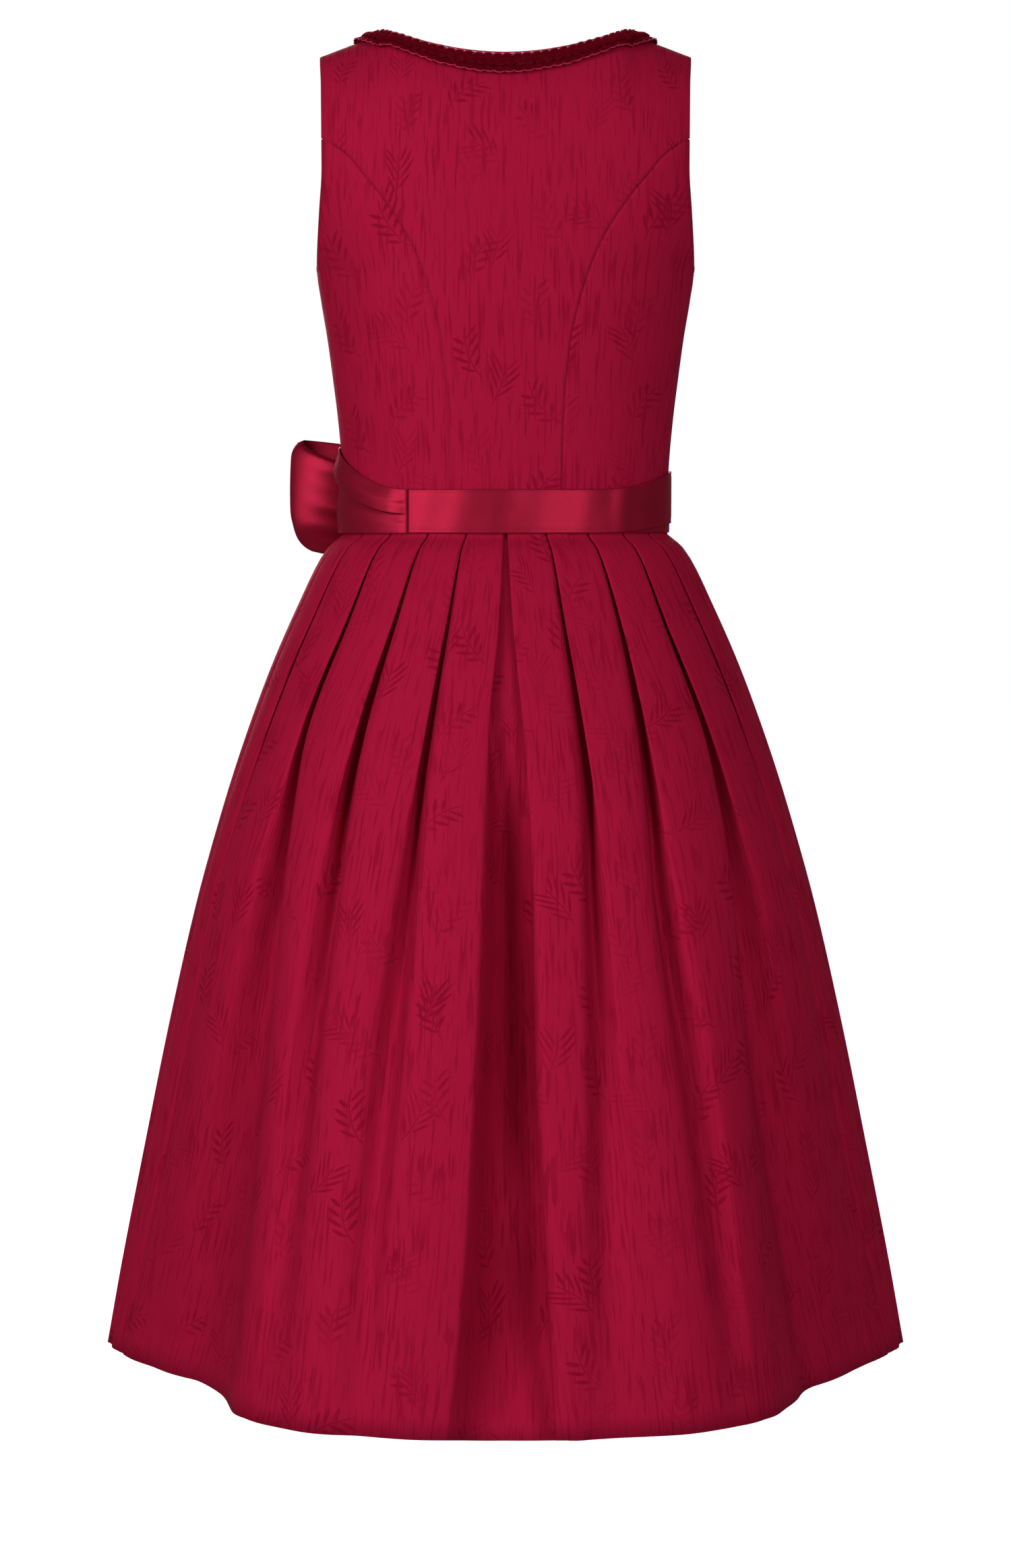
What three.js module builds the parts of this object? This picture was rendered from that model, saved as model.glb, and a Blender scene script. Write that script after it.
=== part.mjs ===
// A knee-length dirndl: a sleeveless bodice with curved panel seams, a plaited trim round the neck,
// a pleated skirt, and a gathered apron whose satin band goes round the waist to a bow at the left front.
// It stands as it does when it is worn, as thin walls round an empty hollow.
// Millimetres, +Z up. The front faces -Y and +X is the wearer's left.
// The origin is midway between the shoulder seams.
// A drop is a distance below the origin.
// An angle is measured from the centre back, positive to the wearer's left.
import * as THREE from 'three';

const RAD = Math.PI / 180;

// Driving sizes
const CLOTH = 1.2;
const SKIRT_CLOTH = 1.0;
const SEAM_GAP = 0.3;
const NECK_HALF_WIDTH = 97;
const NECK_RISE = 7.5;
const NAPE_DROP = 16;
const NAPE_DEPTH = 58;
const SHOULDER_TIP = { x: 146, drop: 10.5 };
const FRONT_NECK_DROP = 165;
const WAIST_DROP = 366;
const HEM_DROP = 1042;
const BUST = { x: 82, drop: 212, rise: 26, across: 44, above: 60, below: 42 };
const ARMHOLE = { drop: 94, halfHeight: 85, back: 52, front: 56 };
const BACK_SEAM_TOP = 79;
const FRONT_SEAM_TOP = 100;
const SIDE_ANGLE = 90;
const TRIM = { width: 22, lift: 1.4, base: 1.0, relief: 2.8 };
const BAND = { top: 350, bottom: 384, lift: 1.4, cloth: 1.0, seamAngle: 36, riseFrom: 38, rise: 8 };
const KNOT = { angle: 140, drop: 364, out: 13.3, halfWidth: 12.5, halfHeight: 21, halfDepth: 10.5 };
const SASH_WIDTH = 84;
const BOW_CLOTH = 1.0;
const APRON = { reach: 66, top: 384.8, bottom: 1000, waves: 18, cloth: 1.0 };

// The bodice below the armholes: half width, and the depth of the back and front from the middle
const TORSO = [
  { drop: 79, halfWidth: 149, back: 88, front: 84 },
  { drop: 110, halfWidth: 149, back: 91, front: 90 },
  { drop: 140, halfWidth: 149, back: 92, front: 94 },
  { drop: 179, halfWidth: 149.3, back: 92, front: 98 },
  { drop: 200, halfWidth: 146.6, back: 92, front: 100 },
  { drop: 230, halfWidth: 141.7, back: 90, front: 99 },
  { drop: 262, halfWidth: 137.4, back: 88, front: 97 },
  { drop: 294, halfWidth: 133.5, back: 86, front: 97 },
  { drop: 326, halfWidth: 130.6, back: 84.5, front: 100 },
  { drop: 366, halfWidth: 128.5, back: 83.5, front: 104 },
];

// The armhole's edge, seen from behind
const ARMHOLE_EDGE = [
  { drop: 10.5, x: 146 },
  { drop: 37, x: 143.8 },
  { drop: 69, x: 143.1 },
  { drop: 101, x: 142.9 },
  { drop: 133, x: 145.2 },
  { drop: 179, x: 149.3 },
];

// The curved panel seams
const BACK_SEAM = [
  { drop: 79, x: 141.8 },
  { drop: 93, x: 122.5 },
  { drop: 107, x: 111 },
  { drop: 124, x: 97 },
  { drop: 160, x: 74 },
  { drop: 193, x: 61 },
  { drop: 240, x: 50 },
  { drop: 301, x: 45 },
  { drop: 366, x: 43.5 },
];
const FRONT_SEAM = [
  { drop: 100, x: 142.5 },
  { drop: 126, x: 124 },
  { drop: 155, x: 104 },
  { drop: 184, x: 92 },
  { drop: 212, x: 84 },
  { drop: 240, x: 76 },
  { drop: 274, x: 66 },
  { drop: 318, x: 56 },
  { drop: 366, x: 50 },
];

// How far the skirt has spread beyond the waist's outline
const SKIRT = [
  { drop: 366, flare: 0 },
  { drop: 385, flare: 0.3 },
  { drop: 394, flare: 11 },
  { drop: 406, flare: 19.5 },
  { drop: 440, flare: 36 },
  { drop: 487, flare: 56.5 },
  { drop: 552, flare: 80 },
  { drop: 617, flare: 100.5 },
  { drop: 682, flare: 119 },
  { drop: 781, flare: 142.5 },
  { drop: 881, flare: 163.5 },
  { drop: 981, flare: 183.5 },
  { drop: 1042, flare: 194.5 },
];
const BACK_FLARE = 1.06;
const FRONT_FLARE = 0.96;

// The pleats of each quarter of the skirt, counted from the centre. At each station: the angle of the
// fold's edge, the width in degrees of the hollow beside it, the hollow's depth, and how far its cloth
// runs under the fold.
const STATIONS = [366, 450, 530, 590, 660, 790, 920, 1042];
const BACK_LEFT = [
  {
    edge: [0.6, 1.8, 3.6, 3.7, 3.8, 4.4, 5.4, 7],
    width: [0.6, 1.8, 3.6, 3.7, 3.8, 4.4, 5.4, 7],
    depth: [3.2, 8, 12, 16, 20, 23, 18, 1],
    under: [12, 9, 5, 1, 0, 0, 0, 0],
  },
  {
    edge: [13.8, 15.6, 17.6, 19, 20.4, 22, 22.5, 22.5],
    width: [0.9, 1.6, 2.4, 3.2, 4.6, 6, 6, 6],
    depth: [3.2, 8, 12, 14, 14, 11, 7, 1],
    under: [12, 9, 6, 2, 0, 0, 0, 0],
  },
  {
    edge: [27.8, 30.9, 34.4, 36, 36.8, 37, 36.6, 36.5],
    width: [0.9, 1.8, 2.8, 4, 5.6, 6.6, 7, 7],
    depth: [3.2, 8, 13, 15, 15, 11, 7, 1],
    under: [12, 9, 6, 3, 0, 0, 0, 0],
  },
  {
    edge: [44.4, 47, 51.3, 52.5, 55, 61, 67, 71],
    width: [0.9, 1.6, 2.2, 5, 9.5, 18, 25, 29],
    depth: [3.2, 8, 12, 16, 20, 18, 9, 0],
    under: [12, 9, 6, 2, 0, 0, 0, 0],
  },
  {
    edge: [61.5, 64, 67, 69.5, 72, 76, 80, 83],
    width: [1.3, 1.5, 1.6, 2, 2, 2, 2, 2],
    depth: [3.2, 5, 5, 4, 3, 2, 1.5, 1],
    under: [11, 7, 3, 0.5, 0, 0, 0, 0],
  },
  {
    edge: [77, 78.5, 80.5, 82, 83.4, 85.4, 87.2, 88.2],
    width: [1.6, 1.5, 1.4, 1.3, 1.2, 1, 0.8, 0.6],
    depth: [3.2, 4, 3, 2, 1.5, 1, 0.8, 0.6],
    under: [10, 6, 2, 0.5, 0, 0, 0, 0],
  },
];
const BACK_RIGHT = [
  {
    edge: [0.6, 2, 4, 4.8, 5.2, 5.3, 6.3, 7],
    width: [0.6, 2, 4, 4.8, 5.2, 5.3, 6.3, 7],
    depth: [3.2, 8, 12, 16, 20, 23, 18, 1],
    under: [12, 9, 7, 5, 3, 1, 0, 0],
  },
  {
    edge: [14.4, 15.8, 17.4, 18.2, 18.4, 18.6, 18.2, 18],
    width: [0.9, 1.6, 2.4, 3.2, 4.4, 6, 7, 7],
    depth: [3.2, 8, 12, 14, 14, 11, 7, 1],
    under: [12, 9, 6, 3, 0, 0, 0, 0],
  },
  {
    edge: [30.1, 31.9, 32.4, 32.6, 32.8, 34.4, 35.6, 36],
    width: [0.9, 1.8, 2.8, 4, 5.4, 6.6, 7, 7],
    depth: [3.2, 8, 13, 15, 15, 12, 8, 1],
    under: [12, 9, 6, 3, 0, 0, 0, 0],
  },
  {
    edge: [46.1, 47.4, 51.2, 53, 55.4, 58.5, 64, 68],
    width: [0.9, 1.6, 2.2, 4.6, 8.5, 15, 22, 26],
    depth: [3.2, 8, 12, 15, 18, 16, 8, 0],
    under: [12, 9, 6, 3, 0, 0, 0, 0],
  },
  {
    edge: [61.5, 64, 67, 69.5, 72, 76, 80, 83],
    width: [1.3, 1.5, 1.6, 2, 2, 2, 2, 2],
    depth: [3.2, 5, 5, 4, 3, 2, 1.5, 1],
    under: [11, 7, 3, 0.5, 0, 0, 0, 0],
  },
  {
    edge: [77, 78.5, 80.5, 82, 83.4, 85.4, 87.2, 88.2],
    width: [1.6, 1.5, 1.4, 1.3, 1.2, 1, 0.8, 0.6],
    depth: [3.2, 4, 3, 2, 1.5, 1, 0.8, 0.6],
    under: [10, 6, 2, 0.5, 0, 0, 0, 0],
  },
];

// How far the back's hem stands out from the oval
const SWELL_LEFT = [
  { angle: 0, rise: 0 },
  { angle: 19, rise: 4.5 },
  { angle: 24, rise: 8 },
  { angle: 33, rise: 6 },
  { angle: 38, rise: -3 },
  { angle: 42, rise: -14 },
  { angle: 45, rise: -28 },
  { angle: 52, rise: -42 },
  { angle: 59, rise: -46 },
  { angle: 65, rise: -37 },
  { angle: 73, rise: -28 },
  { angle: 81, rise: -13 },
  { angle: 90, rise: 0 },
];
const SWELL_RIGHT = [
  { angle: 0, rise: 0 },
  { angle: 19, rise: 4.5 },
  { angle: 25, rise: 7 },
  { angle: 33, rise: 6 },
  { angle: 37, rise: 0 },
  { angle: 44, rise: -15 },
  { angle: 49, rise: -26 },
  { angle: 54, rise: -38 },
  { angle: 61, rise: -34 },
  { angle: 73, rise: -28 },
  { angle: 81, rise: -13 },
  { angle: 90, rise: 0 },
];

// The front's pleats lie under the apron, evenly apart, and all open in the same way
const FRONT_EDGES = [0.6, 15, 30, 45, 60, 75];
const FRONT_SPREAD = [0, 1, 2, 2.4, 2.8, 3.4, 4, 4.4];
const LAST_SPREAD = 0.8;
const FRONT = FRONT_EDGES.map((waist, k) => {
  const share = k < FRONT_EDGES.length - 1 ? 1 : LAST_SPREAD;
  const edge = FRONT_SPREAD.map((spread) => waist + spread * share);
  return {
    edge,
    width: k === 0 ? edge : [1.4, 2, 2.8, 3.2, 4, 5, 6, 7],
    depth: [2, 4, 6, 7, 8, 8, 7, 6],
  };
});

// The distance between the two layers of cloth in a fold, and how long the underlay of a knife pleat is
const LAYER = 1.6;
const KNIFE_UNDER = 4;

// How far along a panel its middle points lie, and where the swell of the hem begins
const PANEL_MIDDLE = { back: 0.45, front: 0.3 };
const SWELL_FROM = 580;
const BACK_RINGS = [366.3, 385, 396, 430, 480, 550, 640, 760, 900, 1042];
const FRONT_RINGS = [366.3, 385, 396, 424, 480, 600, 740, 890, 1042];

// Helpers: numbers and curves
const mix = (a, b, t) => a + (b - a) * t;
const clamp01 = (t) => Math.min(1, Math.max(0, t));
const smooth = (t) => clamp01(t) ** 2 * (3 - 2 * clamp01(t));
const mix2 = (a, b, t) => [mix(a[0], b[0], t), mix(a[1], b[1], t)];

// A smooth curve through the points (xs, ys) that doesn't overshoot them
function through(xs, ys) {
  const steps = xs.slice(1).map((x, i) => (ys[i + 1] - ys[i]) / (x - xs[i]));
  const slopes = ys.map((_, i) => {
    if (i === 0) return steps[0];
    if (i === ys.length - 1) return steps[i - 1];
    const [a, b] = [steps[i - 1], steps[i]];
    return a * b <= 0 ? 0 : (2 * a * b) / (a + b);
  });
  return (x) => {
    let i = 0;
    while (i < xs.length - 2 && x > xs[i + 1]) i += 1;
    const h = xs[i + 1] - xs[i];
    const t = clamp01((x - xs[i]) / h);
    const [t2, t3] = [t * t, t * t * t];
    return (
      ys[i] * (2 * t3 - 3 * t2 + 1) +
      ys[i + 1] * (3 * t2 - 2 * t3) +
      h * slopes[i] * (t3 - 2 * t2 + t) +
      h * slopes[i + 1] * (t3 - t2)
    );
  };
}
const column = (rows, name) => through(rows.map((r) => r.drop), rows.map((r) => r[name]));

const torsoHalfWidth = column(TORSO, 'halfWidth');
const torsoBack = column(TORSO, 'back');
const torsoFront = column(TORSO, 'front');
const armholeX = column(ARMHOLE_EDGE, 'x');
const backSeamX = column(BACK_SEAM, 'x');
const frontSeamX = column(FRONT_SEAM, 'x');
const skirtFlare = column(SKIRT, 'flare');

// Helpers: solids

// A closed wall from a grid of outer points with unit normals, made to the given thickness inwards
function wall(rows, thickness) {
  const [m, n] = [rows.length, rows[0].length];
  const positions = [];
  for (const inner of [0, thickness]) {
    for (const row of rows) {
      for (const { p, n: normal } of row) {
        const q = p.clone().addScaledVector(normal, -inner);
        positions.push(q.x, q.y, q.z);
      }
    }
  }
  const outer = (i, j) => i * n + j;
  const inner = (i, j) => m * n + i * n + j;
  const index = [];
  const quad = (a, b, c, d) => index.push(a, b, c, a, c, d);
  for (let i = 0; i < m - 1; i += 1) {
    for (let j = 0; j < n - 1; j += 1) {
      quad(outer(i, j), outer(i, j + 1), outer(i + 1, j + 1), outer(i + 1, j));
      quad(inner(i, j), inner(i + 1, j), inner(i + 1, j + 1), inner(i, j + 1));
    }
    quad(outer(i, 0), outer(i + 1, 0), inner(i + 1, 0), inner(i, 0));
    quad(outer(i, n - 1), inner(i, n - 1), inner(i + 1, n - 1), outer(i + 1, n - 1));
  }
  for (let j = 0; j < n - 1; j += 1) {
    quad(outer(0, j), inner(0, j), inner(0, j + 1), outer(0, j + 1));
    quad(outer(m - 1, j), outer(m - 1, j + 1), inner(m - 1, j + 1), inner(m - 1, j));
  }
  return facingOut(positions, index);
}

// The geometry of a closed mesh, with its triangles turned to face out
function facingOut(positions, index) {
  const corner = (i) => new THREE.Vector3().fromArray(positions, 3 * index[i]);
  let volume = 0;
  for (let i = 0; i < index.length; i += 3) {
    volume += corner(i).dot(corner(i + 1).cross(corner(i + 2)));
  }
  const turned = volume > 0 ? index : [...index].reverse();
  const geometry = new THREE.BufferGeometry();
  geometry.setAttribute('position', new THREE.Float32BufferAttribute(positions, 3));
  geometry.setIndex(turned);
  geometry.computeVertexNormals();
  return geometry;
}

// The point and outward normal at (a, b) of a surface given as a function of two numbers
function onSurface(surface, a, b, stepA, stepB, lift = 0) {
  const p = surface(a, b);
  const alongA = surface(a + stepA, b).sub(surface(a - stepA, b));
  const alongB = surface(a, b + stepB).sub(surface(a, b - stepB));
  const n = alongA.cross(alongB).normalize();
  return { p: p.addScaledVector(n, lift), n };
}

const mirrored = ({ p, n }) => ({
  p: new THREE.Vector3(-p.x, p.y, p.z),
  n: new THREE.Vector3(-n.x, n.y, n.z),
});
const mirroredRows = (rows) => rows.map((row) => row.map(mirrored));

// A patch between four curves, each a function from 0 to 1 that gives [a, b]
function coons(bottom, top, left, right) {
  const corners = [bottom(0), bottom(1), top(0), top(1)];
  return (u, v) =>
    [0, 1].map(
      (k) =>
        (1 - v) * bottom(u)[k] +
        v * top(u)[k] +
        (1 - u) * left(v)[k] +
        u * right(v)[k] -
        (1 - u) * (1 - v) * corners[0][k] -
        u * (1 - v) * corners[1][k] -
        (1 - u) * v * corners[2][k] -
        u * v * corners[3][k],
    );
}
const evenly = (count) => Array.from({ length: count + 1 }, (_, i) => i / count);

// The bodice's surface
const inArmhole = (drop) => drop < ARMHOLE.drop + ARMHOLE.halfHeight;

// How far the armhole's edge lies from the middle, towards the back or the front
function armholeReach(drop, reach) {
  const t = (drop - ARMHOLE.drop) / ARMHOLE.halfHeight;
  return reach * Math.sqrt(Math.max(0, 1 - t * t));
}

// Beside the armhole the cloth's oval is widened so that it passes through the armhole's edge
function halfWidthAt(drop, depth, reach) {
  if (!inArmhole(drop)) return torsoHalfWidth(drop);
  const y = armholeReach(drop, reach) / depth;
  return armholeX(drop) / Math.sqrt(1 - y * y);
}
const backHalfWidth = (drop) => halfWidthAt(drop, torsoBack(drop), ARMHOLE.back);
const frontHalfWidth = (drop) => halfWidthAt(drop, torsoFront(drop), ARMHOLE.front);

function bustRise(x, drop) {
  const across = (Math.abs(x) - BUST.x) / BUST.across;
  const along = (drop - BUST.drop) / (drop < BUST.drop ? BUST.above : BUST.below);
  return BUST.rise * Math.exp(-across * across - along * along);
}

// The point at an angle from the centre back, below the shoulders
function torsoPoint(angle, drop) {
  const [s, c] = [Math.sin(angle * RAD), Math.cos(angle * RAD)];
  if (c >= 0) return new THREE.Vector3(backHalfWidth(drop) * s, torsoBack(drop) * c, -drop);
  const x = frontHalfWidth(drop) * s;
  const fade = smooth(-c / 0.35);
  return new THREE.Vector3(x, torsoFront(drop) * c - bustRise(x, drop) * fade, -drop);
}

// The shoulder seam's and the back neck's height
function topHeight(x) {
  const ax = Math.abs(x);
  if (ax > NECK_HALF_WIDTH) {
    const t = (ax - NECK_HALF_WIDTH) / (SHOULDER_TIP.x - NECK_HALF_WIDTH);
    return mix(NECK_RISE, -SHOULDER_TIP.drop, t);
  }
  return -NAPE_DROP + (NAPE_DROP + NECK_RISE) * (ax / NECK_HALF_WIDTH) ** 2;
}

// The back from the waist to the shoulder, as a function of x and height
function backPoint(x, z) {
  if (-z >= BACK_SEAM_TOP) return torsoPoint(Math.asin(x / backHalfWidth(-z)) / RAD, -z);
  const low = torsoPoint(Math.asin(x / backHalfWidth(BACK_SEAM_TOP)) / RAD, BACK_SEAM_TOP).y;
  const inNeck = clamp01(Math.abs(x) / NECK_HALF_WIDTH);
  const top = NAPE_DEPTH * Math.sqrt(1 - inNeck * inNeck);
  const t = clamp01((topHeight(x) - z) / (topHeight(x) + BACK_SEAM_TOP));
  const round = mix(0.5, 1, smooth(inNeck));
  const share = mix(Math.sin((t * Math.PI) / 2), Math.sqrt(1 - (1 - t) ** 2), round);
  return new THREE.Vector3(x, mix(top, low, share), z);
}

// The front in the same way
function frontPoint(x, z) {
  const at = (drop) => {
    const angle = Math.asin(clamp01(Math.abs(x) / frontHalfWidth(drop))) / RAD;
    return torsoPoint(180 - angle, drop).y;
  };
  if (-z >= FRONT_SEAM_TOP) return new THREE.Vector3(x, at(-z), z);
  const top = Math.abs(x) > NECK_HALF_WIDTH ? topHeight(x) : NECK_RISE;
  const t = clamp01((top - z) / (top + FRONT_SEAM_TOP));
  return new THREE.Vector3(x, at(FRONT_SEAM_TOP) * Math.sqrt(1 - (1 - t) ** 2), z);
}

const backAt = (x, z, lift) =>
  onSurface(backPoint, x, Math.min(z, topHeight(x) - 0.02), 0.05, -0.02, lift);
const frontAt = (x, z, lift) => {
  const top = topHeight(Math.max(x, NECK_HALF_WIDTH));
  return onSurface(frontPoint, x, Math.min(z, top - 0.02), 0.05, 0.02, lift);
};
const aroundAt = (angle, drop, lift = 0) => onSurface(torsoPoint, angle, drop, 0.05, 0.05, lift);

// Bodice panels. Panels that share a seam have the same rows along it.
const BACK_SEAM_ROWS = [365.8, 310, 258, 212, 172, 136, 105, 90, BACK_SEAM_TOP];
const BACK_UPPER_ROWS = [58, 40, 26, 17, 11.5, SHOULDER_TIP.drop];
const FRONT_SEAM_ROWS = [365.8, 318, 274, 240, 212, 184, 155, 126, FRONT_SEAM_TOP];
const FRONT_UPPER_ROWS = [78, 56, 38, 24, 16, 11, SHOULDER_TIP.drop];
const HALF_GAP = SEAM_GAP / 2 + 0.05;
const HALF_GAP_ANGLE = HALF_GAP / 2.4;
const CENTRE_COLUMNS = 18;
const SHOULDER_COLUMNS = 3;
const PANEL_COLUMNS = 7;

function sharesOf(rows) {
  const [first, last] = [rows[0], rows[rows.length - 1]];
  return rows.map((row) => (row - first) / (last - first));
}
const alongRows = (rows, shares, at) => (v) => {
  let i = 0;
  while (i < shares.length - 2 && v > shares[i + 1] + 1e-9) i += 1;
  const t = (v - shares[i]) / (shares[i + 1] - shares[i]);
  return mix2(at(rows[i]), at(rows[i + 1]), clamp01(t));
};

function backCentre() {
  const rows = [...BACK_SEAM_ROWS, ...BACK_UPPER_ROWS];
  const shares = sharesOf(rows);
  const edge = (drop) => [
    drop >= BACK_SEAM_TOP ? backSeamX(drop) - HALF_GAP : armholeX(drop),
    -drop,
  ];
  const shoulderShare = SHOULDER_COLUMNS / CENTRE_COLUMNS;
  const top = (u) => {
    const side = u < 0.5 ? -1 : 1;
    const out = Math.abs(2 * u - 1);
    const neck = 1 - 2 * shoulderShare;
    const x =
      out > neck
        ? mix(NECK_HALF_WIDTH, SHOULDER_TIP.x, (out - neck) / (1 - neck))
        : NECK_HALF_WIDTH * Math.sin(((out / neck) * Math.PI) / 2);
    return [side * x, topHeight(x)];
  };
  const waist = edge(rows[0]);
  const right = alongRows(rows, shares, edge);
  const patch = coons(
    (u) => [mix(-waist[0], waist[0], u), waist[1]],
    top,
    (v) => [-right(v)[0], right(v)[1]],
    right,
  );
  return shares.map((v) =>
    evenly(CENTRE_COLUMNS).map((u) => {
      const [x, z] = patch(u, v);
      const at = backAt(x, z, 0);
      at.p.y += v === 1 && Math.abs(x) >= NECK_HALF_WIDTH - 0.01 ? HALF_GAP : 0;
      return at;
    }),
  );
}

function sideBack() {
  const shares = sharesOf(BACK_SEAM_ROWS);
  const seam = (drop) => {
    const x = backSeamX(drop) + HALF_GAP;
    return [Math.asin(x / backHalfWidth(drop)) / RAD, drop];
  };
  const underarm = ARMHOLE.drop + ARMHOLE.halfHeight;
  const left = alongRows(BACK_SEAM_ROWS, shares, seam);
  const side = SIDE_ANGLE - HALF_GAP_ANGLE;
  const start = Math.asin((ARMHOLE.drop - BACK_SEAM_TOP) / ARMHOLE.halfHeight);
  const top = (u) => {
    const a = mix(start, -Math.PI / 2, u);
    const drop = ARMHOLE.drop - ARMHOLE.halfHeight * Math.sin(a);
    const angle = Math.acos(clamp01(armholeReach(drop, ARMHOLE.back) / torsoBack(drop))) / RAD;
    return [mix(Math.max(angle, left(1)[0]), side, smooth((u - 0.8) / 0.2)), drop];
  };
  const patch = coons(
    (u) => mix2(seam(BACK_SEAM_ROWS[0]), [side, BACK_SEAM_ROWS[0]], u),
    (u) => (u === 0 ? left(1) : top(u)),
    left,
    (v) => [side, mix(BACK_SEAM_ROWS[0], underarm, v)],
  );
  return shares.map((v) => evenly(PANEL_COLUMNS).map((u) => aroundAt(...patch(u, v))));
}

function sideFront() {
  const shares = sharesOf(FRONT_SEAM_ROWS);
  const seam = (drop) => {
    const x = frontSeamX(drop) + HALF_GAP;
    return [180 - Math.asin(Math.min(0.9999, x / frontHalfWidth(drop))) / RAD, drop];
  };
  const underarm = ARMHOLE.drop + ARMHOLE.halfHeight;
  const right = alongRows(FRONT_SEAM_ROWS, shares, seam);
  const side = SIDE_ANGLE + HALF_GAP_ANGLE;
  const end = Math.asin((ARMHOLE.drop - FRONT_SEAM_TOP) / ARMHOLE.halfHeight);
  const top = (u) => {
    const a = mix(-Math.PI / 2, end, u);
    const drop = ARMHOLE.drop - ARMHOLE.halfHeight * Math.sin(a);
    const y = clamp01(armholeReach(drop, ARMHOLE.front) / torsoFront(drop));
    const angle = 180 - Math.acos(y) / RAD;
    return [Math.max(side, Math.min(angle, right(1)[0])), drop];
  };
  const patch = coons(
    (u) => mix2([side, FRONT_SEAM_ROWS[0]], seam(FRONT_SEAM_ROWS[0]), u),
    (u) => (u === 1 ? right(1) : top(u)),
    (v) => [side, mix(FRONT_SEAM_ROWS[0], underarm, v)],
    right,
  );
  return shares.map((v) => evenly(PANEL_COLUMNS).map((u) => aroundAt(...patch(u, v))));
}

// The front neckline, from 0 at the centre front to 1 at the shoulder
function frontNeck(t) {
  const a = (1 - t) * (Math.PI / 2);
  const x = NECK_HALF_WIDTH * Math.cos(a) ** 0.7;
  const z = NECK_RISE - (NECK_RISE + FRONT_NECK_DROP) * Math.sin(a) ** 0.85;
  return [Math.max(x, HALF_GAP), z];
}

// The centre front is closed up to this row, and open above it
const NECK_ROW = 5;
function frontCentre() {
  const rows = [...FRONT_SEAM_ROWS, ...FRONT_UPPER_ROWS];
  const shares = sharesOf(rows);
  const edge = (drop) => [
    drop >= FRONT_SEAM_TOP ? frontSeamX(drop) - HALF_GAP : armholeX(drop),
    -drop,
  ];
  const inner = rows.map((_, i) =>
    i <= NECK_ROW
      ? [HALF_GAP, -mix(rows[0], FRONT_NECK_DROP, i / NECK_ROW)]
      : frontNeck((i - NECK_ROW) / (rows.length - 1 - NECK_ROW)),
  );
  return rows.map((drop, i) =>
    evenly(PANEL_COLUMNS).map((u) => {
      const [x, z] = mix2(inner[i], edge(drop), u);
      const at = frontAt(x, z, 0);
      at.p.y -= i === rows.length - 1 ? HALF_GAP : 0;
      return at;
    }),
  );
}

// The strip down the centre front that carries the buttons
const PLACKET = { halfWidth: 12, lift: 0.7, cloth: 1.2 };
const PLACKET_ROWS = [351.5, 325.6, 285.5, 245.3, 205.2, 189];
function placket() {
  return PLACKET_ROWS.map((drop) =>
    evenly(4).map((u) =>
      frontAt(mix(-PLACKET.halfWidth, PLACKET.halfWidth, u), -drop, PLACKET.lift + PLACKET.cloth),
    ),
  );
}

// A domed button whose flat back lies on the strip
const BUTTON = { radius: 6.2, rim: 1.6, dome: 3.6, first: 200, pitch: 27.5, count: 6 };
function button(drop) {
  const profile = [
    [0, 0],
    [BUTTON.radius * 0.94, 0],
    [BUTTON.radius, BUTTON.rim * 0.5],
    [BUTTON.radius * 0.92, BUTTON.rim],
    [BUTTON.radius * 0.55, BUTTON.dome * 0.86],
    [0, BUTTON.dome],
  ].map(([r, h]) => new THREE.Vector2(r, h));
  const geometry = new THREE.LatheGeometry(profile, 10);
  const row = PLACKET_ROWS.findIndex((next) => next < drop);
  const [low, high] = [PLACKET_ROWS[row - 1], PLACKET_ROWS[row]];
  const [from, to] = [low, high].map((d) => frontAt(0, -d, PLACKET.lift + PLACKET.cloth).p);
  const up = to.clone().sub(from).normalize();
  const out = new THREE.Vector3(0, -up.z, up.y);
  const position = from.lerp(to, (low - drop) / (low - high)).addScaledVector(out, 2 * SEAM_GAP);
  const turn = new THREE.Quaternion().setFromUnitVectors(new THREE.Vector3(0, 1, 0), out);
  return { geometry, position, turn };
}

// The plaited trim's height: its scales lie in three rows over one another, so it is highest in the middle
const trimHeight = (across) => TRIM.base + TRIM.relief * Math.sin(across * Math.PI);

// A trim along an edge: neck(t) gives the surface's coordinates there, and away(t) the way off the edge
const TRIM_ACROSS = [0, 0.26, 0.5, 0.74, 1];
const TRIM_STATIONS = { back: 44, front: 34 };
function trimRows(neck, away, at, count) {
  const stations = evenly(count).map((t) => {
    const [a, b] = neck(t);
    const [da, db] = away(t);
    const start = at(a, b, 0).p;
    let [low, high] = [0, TRIM.width * 1.6];
    for (let i = 0; i < 24; i += 1) {
      const mid = (low + high) / 2;
      if (at(a + da * mid, b + db * mid, 0).p.distanceTo(start) < TRIM.width) low = mid;
      else high = mid;
    }
    return { a, b, da: da * low, db: db * low };
  });
  return stations.map((s) =>
    TRIM_ACROSS.map((w) => ({
      ...at(s.a + s.da * w, s.b + s.db * w, 0),
      lift: TRIM.lift + trimHeight(w),
    })),
  );
}

// Like wall(), with its own height at each point over a plain inside
function raisedWall(rows, innerLift) {
  const outer = rows.map((row) =>
    row.map(({ p, n, lift }) => ({
      p: p.clone().addScaledVector(n, lift),
      n: n.clone().multiplyScalar(lift - innerLift),
    })),
  );
  return wall(outer, 1);
}

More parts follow.
